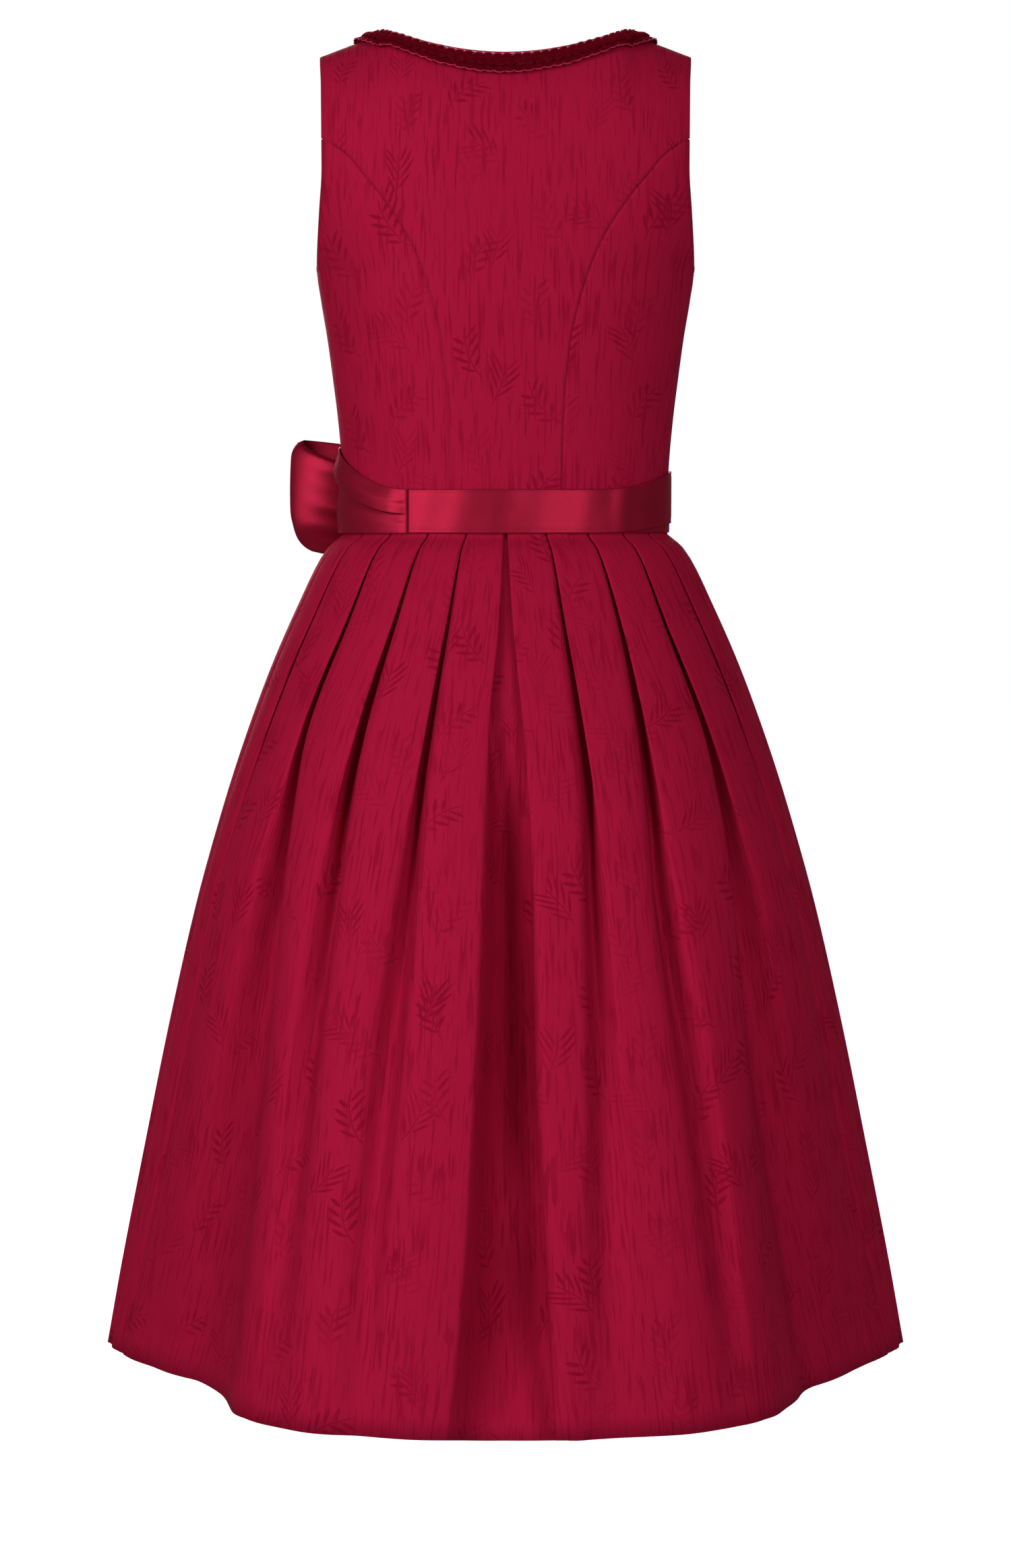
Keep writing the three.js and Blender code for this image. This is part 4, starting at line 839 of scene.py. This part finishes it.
def fold_points(fold, drop, first):
    """One fold as pairs of an angle and a height: a knife pleat where cloth runs under, else an open wave."""
    edge, width, depth, under = (float(part(drop)) for part in fold)
    degree = 1 / float(degrees_for(drop, False, edge, 1))
    width, under, turn = width * degree, max(0.0, under), LAYER / 2
    depth *= 1 if first else mix(1, FOLD_DEEPER, float(smooth((drop - 420) / 150)))
    pleat = [
        [-width, 0],
        [-0.55 * width, -0.55 * depth],
        [-0.2 * width, -0.95 * depth],
        [under, -depth],
        [under + turn, turn - depth],
        [under, LAYER - depth],
        [turn, -LAYER],
        [-0.4 * turn, -turn],
        [turn, 0],
    ]
    wave = [[a * width, h * depth] for a, h in WAVE] + [[4, 0]]
    points = mix(np.array(wave), np.array(pleat), min(1.0, under / 4))
    if first:
        valley = VALLEY_SOFT if first == "left" else VALLEY_CRISP
        deeper = VALLEY_DEEPER + HEM_DEEPER * float(smooth((drop - 880) / 100))
        deep = depth * mix(1, deeper, float(smooth((drop - 480) / 150)))
        open_side = [[a * width, h * deep] for a, h in valley] + [[4, 0]]
        closed_side = np.concatenate([[[-width, -depth]], points[3:]])
        points = mix(np.array(open_side), closed_side, min(1.0, under / 8))
    return points / [degree, 1] + [edge, 0]


def groove_points(fold, drop, first):
    edge, width, depth, _ = (float(part(drop)) for part in fold)
    if first:
        return np.array([[0, -depth], [edge, 0]])
    return np.array([[edge - width, 0], [edge - width / 2, -depth], [edge, 0]])


PANEL_SHARES = (0.22, 0.45, 0.7)
CROWN = 1.6
HEM_DIP, HEM_DIP_REACH = 0.27, 11
PLAIN, FOLD_START, FOLD_END, MIDDLE = range(4)


def quarter_section(folds, swell, drop, front, hand):
    """A quarter of the skirt's section from the centre line to the side seam, with each point's kind."""
    grown = float(smooth((drop - 580) / (HEM_DROP - 580)))
    side = 90
    points, kinds = [], []
    for k, fold in enumerate(folds):
        part = (groove_points if front else fold_points)(fold, drop, "" if k else hand)
        points += part.tolist()
        kinds += [FOLD_START if k else MIDDLE] + [PLAIN] * (len(part) - 2) + [FOLD_END]
        after = float(folds[k + 1][0](drop) - folds[k + 1][1](drop)) if k + 1 < len(folds) else side
        crown = 0 if front else CROWN * float(smooth((drop - 400) / 200))
        before = points[-1][0]
        for share in PANEL_SHARES:
            points.append([mix(before, after, share), crown * math.sin(math.pi * share)])
            kinds.append(MIDDLE if share == PANEL_SHARES[1] else PLAIN)
    points.append([side, 0])
    kinds.append(FOLD_START)
    points = np.array(points)
    height = points[:, 1] + (0 if front else grown * swell(points[:, 0]))
    line = on_oval(drop, front, points[:, 0], height)
    if not front:
        in_valley = smooth((HEM_DIP_REACH - points[:, 0]) / 3)
        near_hem = float(smooth((drop - 900) / (HEM_DROP - 900)))
        line[:, 2] += HEM_DIP * np.minimum(points[:, 1], 0) * in_valley * near_hem
    return line, kinds


def rounded(line, kinds, times):
    """The line with its corners cut off, again and again, and its marked points kept track of."""
    marks = np.array(kinds)
    for _ in range(times):
        a, b = line[:-1], line[1:]
        inner = np.stack([mix(a, b, 0.25), mix(a, b, 0.75)], axis=1).reshape(-1, 3)
        line = np.concatenate([line[:1], inner, line[-1:]])
        inner_marks = np.stack([np.zeros(len(marks) - 1, int), marks[1:]], axis=1).ravel()
        marks = np.concatenate([marks[:1], inner_marks[:-1], [0], marks[-1:]])
    return line, marks


def skirt(name, left, right, drops, front, times, shift):
    rings, flats = [], []
    slant = np.concatenate([[0], np.cumsum(np.hypot(np.diff(drops), np.diff(skirt_flare(drops))))])
    for drop in drops:
        l, l_kinds = quarter_section(left, swell_left, drop, front, "left")
        r, r_kinds = quarter_section(right, swell_right, drop, front, "right")
        line = np.concatenate([(r * MIRROR)[:0:-1], l])
        kinds = list(r_kinds[:0:-1]) + list(l_kinds)
        line, marks = rounded(line, kinds, times)
        ahead = np.gradient(line, axis=0)
        n = unit(xyz(-ahead[:, 1], ahead[:, 0], 0)) * (-1 if front else 1)
        rings.append(line + n * SKIRT_HALF_CLOTH)
        flats.append((row_lengths(line[None])[0], marks))
    grid = np.array(rings)
    s_hem, marks = flats[-1]
    middles = np.flatnonzero(marks == MIDDLE)
    at_hem = s_hem[middles] - s_hem[middles[len(middles) // 2]]
    flat = np.empty(grid.shape[:2])
    of_folds = (marks == FOLD_START) | (marks == FOLD_END)
    folds = [np.flatnonzero(of_folds[a:b]) + a for a, b in zip(middles[:-1], middles[1:])]
    for i, (s, _) in enumerate(flats):
        knots, values = [], []
        for k, middle in enumerate(middles):
            knots.append(s[middle])
            values.append(at_hem[k])
            if k + 1 < len(middles) and len(folds[k]) >= 2:
                start, end = folds[k][0], folds[k][-1]
                knots += [s[start], s[end]]
                values += [at_hem[k] + s[start] - s[middle], at_hem[k + 1] - (s[middles[k + 1]] - s[end])]
        low, high = s[0] - knots[0], s[-1] - knots[-1]
        flat[i] = np.interp(s, [s[0], *knots, s[-1]], [values[0] + low, *values, values[-1] + high])
    uv = np.stack([flat, np.broadcast_to(-slant[:, None], flat.shape)], axis=2)
    cloth(name, grid, JACQUARD, uv=uv, shift=shift, thickness=0.8)


def as_curves(folds):
    return [tuple(curve(STATIONS, part) for part in fold) for fold in folds]


fine = np.concatenate([np.linspace(366.3, 392, 9), np.linspace(396, 560, 20), np.linspace(572, HEM_DROP, 30)])
skirt("skirt_back", as_curves(BACK_LEFT), as_curves(BACK_RIGHT), fine, False, 2, (0, 820))
skirt("skirt_front", as_curves(FRONT_FOLDS), as_curves(FRONT_FOLDS), fine[::2], True, 2, (900, 820))


# The neck's trim
def neck_table(neck, away, at, count=160, across=TRIM_REACH + 1):
    """Points and normals of the cloth under a trim, along it and across it."""
    t = np.linspace(0, 1, count)
    a, b = neck(t).T
    da, db = away(t).T
    start = at(a, b)[0]
    size = np.full(count, float(TRIM_REACH))
    for _ in range(8):
        reached = np.linalg.norm(at(a + da * size, b + db * size)[0] - start, axis=1)
        size *= TRIM_REACH / reached
    w = np.linspace(0, 1, across)
    return at(a[:, None] + (da * size)[:, None] * w, b[:, None] + (db * size)[:, None] * w)


def back_neck(t):
    x = NECK_HALF_WIDTH * np.sin(mix(-0.996, 0.996, t) * math.pi / 2)
    return pairs(x, top_height(x))


SHOULDER = unit(np.array([TIP_X - NECK_HALF_WIDTH, -(NECK_RISE + TIP_DROP)], float))


def back_away(t):
    side = mix(-1, 1, t)
    turn = np.abs(side) ** 1.6
    return unit(mix(np.array([0, -1.0]), SHOULDER * pairs(np.sign(side), 1), turn[:, None]))


def front_away(t):
    h = 0.002
    ahead = front_neck(np.minimum(1, t + h)) - front_neck(np.maximum(0, t - h))
    outward = unit(np.stack([ahead[:, 1], -ahead[:, 0]], axis=1))
    turned = mix(outward, SHOULDER, smooth((t - 0.75) / 0.25)[:, None])
    return unit(mix(turned, np.array([0, -1.0]), smooth((0.14 - t) / 0.14)[:, None]))


# Each row of scales: how far across the trim it starts, its slant, length, half width and height
SCALE_ROWS = [(11.5, -40, 12.5, 3.9, 1.3), (8.6, 38, 11.5, 4.6, 1.9), (13.2, 32, 15.5, 4.6, 0.9)]
SCALE_PITCH = 7.6
TRIM_LIFT = 1.5
PIPING_RADIUS = 0.55


def trim(name, table, way):
    """The plaited trim: a strip of velvet under three rows of folded scales with satin edges, whose sheen is
    painted into a lighter colour.
    """
    p, n = table
    s = row_lengths(p[:, len(p[0]) // 2][None])[0]
    total = s[-1]

    def on_trim(along, across, height):
        i = np.clip(np.interp(along, s, np.arange(len(s))), 0, len(s) - 1.001)
        j = np.clip(across / TRIM_REACH, 0, 1) * (p.shape[1] - 1.001)
        i0, j0 = i.astype(int), j.astype(int)
        fi, fj = (i - i0)[..., None], (j - j0)[..., None]

        def between(q):
            return mix(mix(q[i0, j0], q[i0 + 1, j0], fi), mix(q[i0, j0 + 1], q[i0 + 1, j0 + 1], fi), fj)

        return between(p) + between(n) * height[..., None]

    under = p[:, 1:TRIM_WIDTH] + n[:, 1:TRIM_WIDTH] * (TRIM_LIFT + 0.5)
    cloth(name, under, VELVET, thickness=0.8)
    points, faces, edges = [], [], []
    a, b = np.meshgrid(np.linspace(0, 1, 8), np.linspace(-1, 1, 7), indexing="ij")
    shape = np.minimum(1, (0.45 + 1.6 * a)) * np.sqrt(np.clip(1 - a**4, 0.0, 1))
    template = grid_faces(*a.shape)
    for row, (start, slant, long, half, dome) in enumerate(SCALE_ROWS):
        count = int(total / SCALE_PITCH)
        for k in range(-1, count):
            seed = math.sin(12.9898 * k + 78.233 * row) * 43758.5453
            jog = (seed - math.floor(seed)) - 0.5
            angle = slant + 7 * jog
            along = (k + 0.5 * (row % 2)) * SCALE_PITCH + 0.4 * jog
            local = a * long
            side = b * half * shape
            x = along + local * cosd(angle) - side * sind(angle)
            y = start + local * sind(angle) + side * cosd(angle)
            x = np.clip(x, 0.05, total - 0.05)
            y = np.clip(y, 0.5, TRIM_REACH - 0.2)
            round_top = (1 - b * b) * np.sin(math.pi * np.minimum(1, a * 0.9 + 0.15))
            rise = TRIM_LIFT + 0.7 + 2.2 * a + dome * round_top
            height = rise - 0.35 * (row != 1) + 0.5 * (row == 1)
            ends = smooth(np.minimum(x, total - x) / 5)
            q = on_trim(x if way > 0 else total - x, y, height * mix(0.8, 1, ends))
            faces.append(template + len(points) * a.size)
            points.append(q.reshape(-1, 3))
            if row != 1:
                lower = 6 if slant > 0 else 0
                outline = np.concatenate([q[2:, lower], q[-1, 1:-1][:: -1 if lower else 1][:4]])
                edges.append(outline)
    scales = add(f"{name}_scales", np.concatenate(points), np.concatenate(faces), VELVET)
    walled(scales, 0.5)
    along = np.linspace(0.2, total - 0.2, 220)
    cord = on_trim(along, np.full(220, 0.5), np.full(220, TRIM_LIFT + 1.0))
    tubes(f"{name}_edges", [*edges, cord], PIPING_RADIUS, PIPING_PAINTED_SHEEN, sides=5)


trim("trim_back", neck_table(back_neck, back_away, back_at), -1)
front_p, front_n = neck_table(front_neck, front_away, front_at)
front_p[0, :, 0] = 0.6
trim("trim_front_left", (front_p, front_n), 1)
trim("trim_front_right", (front_p * MIRROR, front_n * MIRROR), 1)


# The ribbon, the apron's band and the sash
def waist_cloth(name, angles, tops, bottoms, lift, rows, shift=(0, 0)):
    """Satin round the waist between two lines, made as a sheet of cloth; gives its points."""
    angle, share = np.meshgrid(angles, np.linspace(0, 1, rows))
    drop = mix(bottoms(angle), tops(angle), share)
    p, _ = over_waist(angle, drop, lift(angle, share, drop))
    cloth(name, p, SATIN, thickness=0.7, shift=shift)
    return p


def climb(angle, top):
    """The ribbon's right end rises over the apron's band, its upper edge more than its lower."""
    return mix(8, 14.5, top) * smooth((-angle - 34) / 58)


def ribbon_lift(angle, share, drop):
    over = 1.5 * smooth((-angle - 38) / 8)
    ripple = 0.35 * np.sin(angle * 0.16 + 0.8) + 0.18 * np.sin(angle * 0.43 + share * 2)
    edge = 0.25 * (np.exp(-((share - 0.06) / 0.03) ** 2) + np.exp(-((share - 0.94) / 0.03) ** 2))
    return BAND_LIFT + over + ripple - edge


ribbon = waist_cloth(
    "belt_back",
    np.linspace(-102, BAND_SEAM, 140),
    lambda a: BAND_TOP - climb(a, 1),
    lambda a: BAND_BOTTOM - climb(a, 0),
    ribbon_lift,
    25,
)
waist_cloth(
    "apron_band",
    np.linspace(-48, -(360 - KNOT_ANGLE + 2), 150),
    lambda a: BAND_TOP + 3 + 0 * a,
    lambda a: BAND_BOTTOM + 0 * a,
    lambda a, share, drop: BAND_LIFT + 0.15 * np.sin(a * 0.3 + share * 3),
    17,
    shift=(700, 50),
)
SASH_TOP, SASH_BOTTOM, SASH_END, SASH_FOLD = 316, 384.6, 135.4, 4.5
SASH_STEP = 2.2


def sash_share(angle):
    return (angle - BAND_SEAM - 0.2) / (SASH_END - BAND_SEAM - 0.2)


def sash_top(angle):
    u = sash_share(angle)
    spread, close = smooth(u / 0.62), smooth((u - 0.72) / 0.28)
    return mix(mix(BAND_TOP, SASH_TOP, spread), KNOT_DROP - 17, close)


def sash_bottom(angle):
    u = sash_share(angle)
    return mix(BAND_BOTTOM, mix(SASH_BOTTOM, KNOT_DROP + 17, smooth((u - 0.72) / 0.28)), smooth(u / 0.62))


def sash_lift(angle, share, drop):
    """The sash's upper half lies over its lower half, with one slanting fold between them."""
    u = sash_share(angle)
    line = mix(0.42, 0.6, smooth(u / 0.45))
    puff = SASH_FOLD * np.sin(np.minimum(1, u * 1.4 + 0.06) * math.pi * 0.62)
    bodice = 2.6 * smooth((BAND_TOP - drop) / 30)
    above = np.clip((share - line) / (1 - line), 0, 1)
    below = np.clip(share / line, 0, 1)
    roll = 0.3 * np.sin(math.pi * above) + 0.22 * np.sin(math.pi * below)
    roll = roll - 0.3 * np.exp(-(((below - 0.82) / 0.16) ** 2))
    step = SASH_STEP * smooth((share - line) / 0.03) * smooth(u / 0.08)
    gather = np.sin(share * 26 + u * 5) * 0.5 + np.sin(share * 43 - u * 9 + 1) * 0.3
    ends = 0.35 * np.exp(-((u / 0.07) ** 2)) + np.exp(-(((1 - u) / 0.25) ** 2)) + 0.08
    inside = np.sin(math.pi * share) ** 0.5
    shape = puff * (0.55 + roll) + step * (1 - 0.6 * above) + gather * ends * inside * smooth(u / 0.02)
    hug = smooth((share - 0.7) / 0.3) * smooth(u / 0.2) * smooth((1 - u) / 0.2)
    return BAND_LIFT - 1.1 * hug + 0.35 * smooth(u / 0.03) + bodice + shape * (1 - 0.9 * hug)


waist_cloth(
    "sash_left",
    np.linspace(BAND_SEAM + 0.1, SASH_END, 130),
    sash_top,
    sash_bottom,
    sash_lift,
    91,
    shift=(300, 0),
)

# The bow
seat, OUT = (w[0] for w in over_waist(np.array([float(KNOT_ANGLE)]), np.array([float(KNOT_DROP)]), KNOT_OUT))
ALONG = np.array([-OUT[1], OUT[0], 0])
UP = np.array([0, 0, 1.0])


def from_knot(along, out, up):
    return seat + along[..., None] * ALONG + out[..., None] * OUT + up[..., None] * UP


# Sizes of the loops. Those that differ are given for the outer loop (1) and the inner one (-1)
LOOP_LENGTH = {1: 77, -1: 98}
LOOP_TURN = {1: 40, -1: 8}
LOOP_GAP, LOOP_BEND, LOOP_RISE = 14, 0.5, 6
LOOP_FOOT, LOOP_SLANT = 20, 21
LOOP_AT_KNOT, LOOP_HEIGHT = 22, SASH_WIDTH + 5


def loop_line(t, v, side):
    """A loop's line round its bend at a height v across the ribbon, narrower towards the foot."""
    a = (t - 0.5) * 2
    reach = np.maximum(np.cos(a * math.pi / 2), 0) ** LOOP_BEND
    foot = np.clip((-v - 0.1) / 0.4, 0, 1)
    head = np.clip((v - 0.36) / 0.14, 0, 1)
    far = LOOP_LENGTH[side] - LOOP_FOOT * (1 - np.sqrt(1 - foot * foot)) - 7 * (1 - np.sqrt(1 - head * head))
    along = side * mix(KNOT_HALF[0] - 0.4, far, reach)
    gap = LOOP_GAP * mix(0.55, 1.35, v + 0.5)
    out = gap * np.sin(a * math.pi * 0.5) * (0.35 + 0.65 * smooth(reach * 1.1)) - 4 * reach
    out += LOOP_TURN[side] * (along / LOOP_LENGTH[side]) ** 2
    return along, out, reach


def bow_loop(name, side, push):
    a = np.sin(np.linspace(-1, 1, 120) * math.pi / 2)
    t, v = np.meshgrid(0.5 + a / 2, np.linspace(-0.5, 0.5, 49), indexing="ij")
    along, out, reach = loop_line(t, v, side)
    ahead, behind = (loop_line(np.clip(t + step, 0, 1), v, side) for step in (0.004, -0.004))
    tangent = unit((ahead[0] - behind[0])[..., None] * ALONG + (ahead[1] - behind[1])[..., None] * OUT)
    n = unit(np.cross(tangent, UP)) * -side
    outer_wall = smooth((t - 0.46) / 0.1)
    height = mix(LOOP_AT_KNOT, LOOP_HEIGHT, smooth(reach * mix(1.6, 2.0, outer_wall)))
    around = np.minimum(1, np.abs(t - 0.5) * 2)
    tilt = mix(-LOOP_SLANT * around * (v + 0.5), 4 * (v + 0.5) * np.minimum(1, around * 4), outer_wall)
    tilt *= smooth(reach * 2)
    up = LOOP_RISE * smooth(reach) + tilt + v * height
    cup = 2.5 * (1 - 4 * v * v) * np.sin(t * math.pi)
    near_knot = smooth((1 - reach) * 1.6) * smooth(reach * 4)
    gathers = (np.sin(v * 30 + 1) + np.sin(v * 17 + t * 4) * 1.2) * near_knot
    clear = push * smooth((KNOT_DROP - up - 376) / 22)
    p = from_knot(along, out + clear, up) + n * (cup + gathers)[..., None]
    cloth(name, p, SATIN, thickness=0.6, shift=(0, 300 * side))


bow_loop("bow_loop_outer", 1, 6)
bow_loop("bow_loop_inner", -1, 18)

turn, lat = np.meshgrid(np.linspace(0, 360, 97), np.linspace(-90, 90, 61))
ring = np.maximum(cosd(lat), 0) ** 0.75
wraps = 1 + 0.05 * np.sin(np.radians(turn) * 7 + lat * 0.02)
wraps = wraps + 0.035 * np.sin(np.radians(turn) * 11 + lat * 0.05)
waist = 1 - 0.1 * np.exp(-((lat / 40) ** 2))
p = from_knot(
    KNOT_HALF[0] * ring * sind(turn) * wraps * waist,
    KNOT_HALF[2] * ring * cosd(turn) * wraps,
    KNOT_HALF[1] * sind(lat),
)
flat = np.stack([np.radians(turn) * 12, lat * 0.35], axis=2)
knot = add("bow_knot", p.reshape(-1, 3), grid_faces(*p.shape[:2]), SATIN, flat.reshape(-1, 2))
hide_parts("bow_knot")


def bow_tail(name, angle, drift, length, start, lift, cut, shift):
    top = KNOT_DROP + KNOT_HALF[1] + 0.4
    t, w = np.meshgrid(np.linspace(0, 1, 120), np.linspace(-0.5, 0.5, 49), indexing="ij")
    drop = top + length * t
    width = mix(20, SASH_WIDTH, smooth(t * 2.6 + 0.05))
    slant = cut * w * smooth((t - 0.6) / 0.4)
    middle = angle + drift * t
    around = middle + degrees_for(drop, True, 180 - middle, w * width)
    ripple = 3 * np.sin(w * 9 + t * 3) * smooth(t * 3)
    gathers = (np.sin(w * 32) + np.sin(w * 21 + 2)) * 0.8 * np.exp(-((t / 0.16) ** 2)) * smooth(t * 30)
    p, _ = over_skirt(around, drop + slant, mix(start, lift, smooth(t * 3)) + ripple + gathers)
    cloth(name, p, SATIN, thickness=0.6, shift=shift)


bow_tail("bow_tail_long", 142, 9, 392, 13, 31, 22, (120, 700))
bow_tail("bow_tail_short", 138, 3, 342, 15.3, 41, -22, (-120, 700))

# The apron
drops = np.concatenate([np.linspace(APRON_TOP, 420, 12), np.linspace(430, APRON_BOTTOM, 50)])
across, drop = np.meshgrid(np.linspace(0, 1, 560), drops)
down = (drop - APRON_TOP) / (APRON_BOTTOM - APRON_TOP)
lift = mix(3.6, 15, smooth(down * 1.2))
depth = mix(1.3, 6, smooth(down * 1.1))
drift = np.sin(across * 23 + 0.7) * 0.8 + np.sin(across * 41 + 2.1) * 0.5
wave = np.cos(across * APRON_WAVES * 2 * math.pi + drift * smooth(down * 2)) * depth
wave *= 0.78 + 0.3 * np.sin(across * 29 + down * 2.2) * smooth(down * 2)
slow = (np.sin(across * 17 + 1.3) + 0.7 * np.sin(across * 27 + 4 + down)) * 0.3 * depth
gathers = 0.55 * np.sin(across * 3 * APRON_WAVES * 2 * math.pi + np.sin(across * 90)) * np.exp(-down / 0.12)
p, _ = over_skirt(180 + mix(-APRON_REACH, APRON_REACH, across), drop, lift + wave + slow + gathers)
cloth("apron_panel", p, SATIN, thickness=0.7, shift=(0, 1500))


# Stitches: beside the curved back seams, round the armholes, along the ribbon's edges and down its seam
def inside_edge(grid, normals, column, inward):
    """A path inside the edge of a panel, a distance from its first or last column."""
    s = row_lengths(grid)
    at = np.full(len(s), float(inward)) if column == 0 else s[:, -1] - inward
    k = np.clip([np.searchsorted(row, x) for row, x in zip(s, at)], 1, grid.shape[1] - 1)
    i = np.arange(len(s))
    f = ((at - s[i, k - 1]) / (s[i, k] - s[i, k - 1]))[:, None]
    return mix(grid[i, k - 1], grid[i, k], f), mix(normals[i, k - 1], normals[i, k], f)


SEAM_INSET, ARMHOLE_INSET = 1.9, 2.6
below = back[:, 0, 2] < -BACK_SEAM_TOP - 1
seam_paths = [inside_edge(back[below], back_n[below], column, SEAM_INSET) for column in (0, -1)]
stitches("stitches_back_seams", seam_paths, 1.9)
above = back[:, 0, 2] > -BACK_SEAM_TOP
armhole_paths = [inside_edge(back[above], back_n[above], column, ARMHOLE_INSET) for column in (0, -1)]
turned, turned_n = (side_back_p.transpose(1, 0, 2), side_back_n.transpose(1, 0, 2))
path, path_n = inside_edge(turned, turned_n, -1, ARMHOLE_INSET)
armhole_paths += [(path, path_n), (path * MIRROR, path_n * MIRROR)]
stitches("stitches_armholes", armhole_paths, 2.2)
width_n = unit(np.cross(np.gradient(ribbon, axis=1), np.gradient(ribbon, axis=0)))
ribbon_paths = [(ribbon[k], width_n[k]) for k in (2, -3)]
stitches("stitches_ribbon", ribbon_paths, 2.6, SATIN, long=1.8)
seam_line = [(ribbon[:, k], width_n[:, k]) for k in (-2, -3)]
stitches("stitches_ribbon_seam", seam_line, 1.5)

# Floor, camera and light
FLOOR_SIZE, FLOOR_HEIGHT = 30, -1.46
bpy.ops.mesh.primitive_plane_add(size=FLOOR_SIZE, location=(0, 0, FLOOR_HEIGHT))
floor = bpy.context.object
floor.name = "floor"
pale = Graph("floor", Base_Color=(0.35, 0.35, 0.35, 1), Roughness=0.9)
pale.set("Emission Color", (1, 1, 1, 1))
pale.set("Emission Strength", 0.95)
floor.data.materials.append(pale.material)
floor.visible_diffuse = floor.visible_glossy = False

camera = bpy.data.objects.new("camera", bpy.data.cameras.new("camera"))
bpy.context.scene.collection.objects.link(camera)
CAMERA_DISTANCE, CAMERA_HEIGHT, CAMERA_TILT = 2.7, -0.352, 4.95
LENS, SENSOR_WIDTH = 77.4, 36
camera.data.lens = LENS
camera.data.sensor_width = SENSOR_WIDTH
camera.location = (0, CAMERA_DISTANCE, CAMERA_HEIGHT)
camera.rotation_euler = (math.radians(90 - CAMERA_TILT), 0, math.radians(180))
bpy.context.scene.camera = camera


def softbox(name, azimuth, distance, height, size, power):
    """A tall soft light, at an azimuth from behind the dress and positive to the picture's left."""
    lamp = bpy.data.lights.new(name, "AREA")
    lamp.shape = "RECTANGLE"
    lamp.size, lamp.size_y = size
    lamp.energy = power
    light = bpy.data.objects.new(name, lamp)
    light.location = (distance * sind(azimuth), distance * cosd(azimuth), height)
    aim = Vector((0, 0, -0.5)) - light.location
    light.rotation_euler = aim.to_track_quat("-Z", "Y").to_euler()
    bpy.context.scene.collection.objects.link(light)


softbox("key", 42, 2.6, 0.15, (1.2, 2.4), 40)
softbox("fill", -27, 2.9, 0.1, (1.0, 2.4), 30)
softbox("front_key", 172, 3.2, 0.5, (2.4, 2.2), 62)

world = bpy.data.worlds.new("world")
bpy.context.scene.world = world
world.use_nodes = True
nodes, links = world.node_tree.nodes, world.node_tree.links
rays = nodes.new("ShaderNodeLightPath")
strength = nodes.new("ShaderNodeMapRange")
AMBIENT = 0.16
strength.inputs["To Min"].default_value = AMBIENT
strength.inputs["To Max"].default_value = 1.0
links.new(rays.outputs["Is Camera Ray"], strength.inputs["Value"])
links.new(strength.outputs[0], nodes["Background"].inputs["Strength"])
nodes["Background"].inputs["Color"].default_value = (1, 1, 1, 1)
bpy.context.scene.view_settings.view_transform = "Standard"
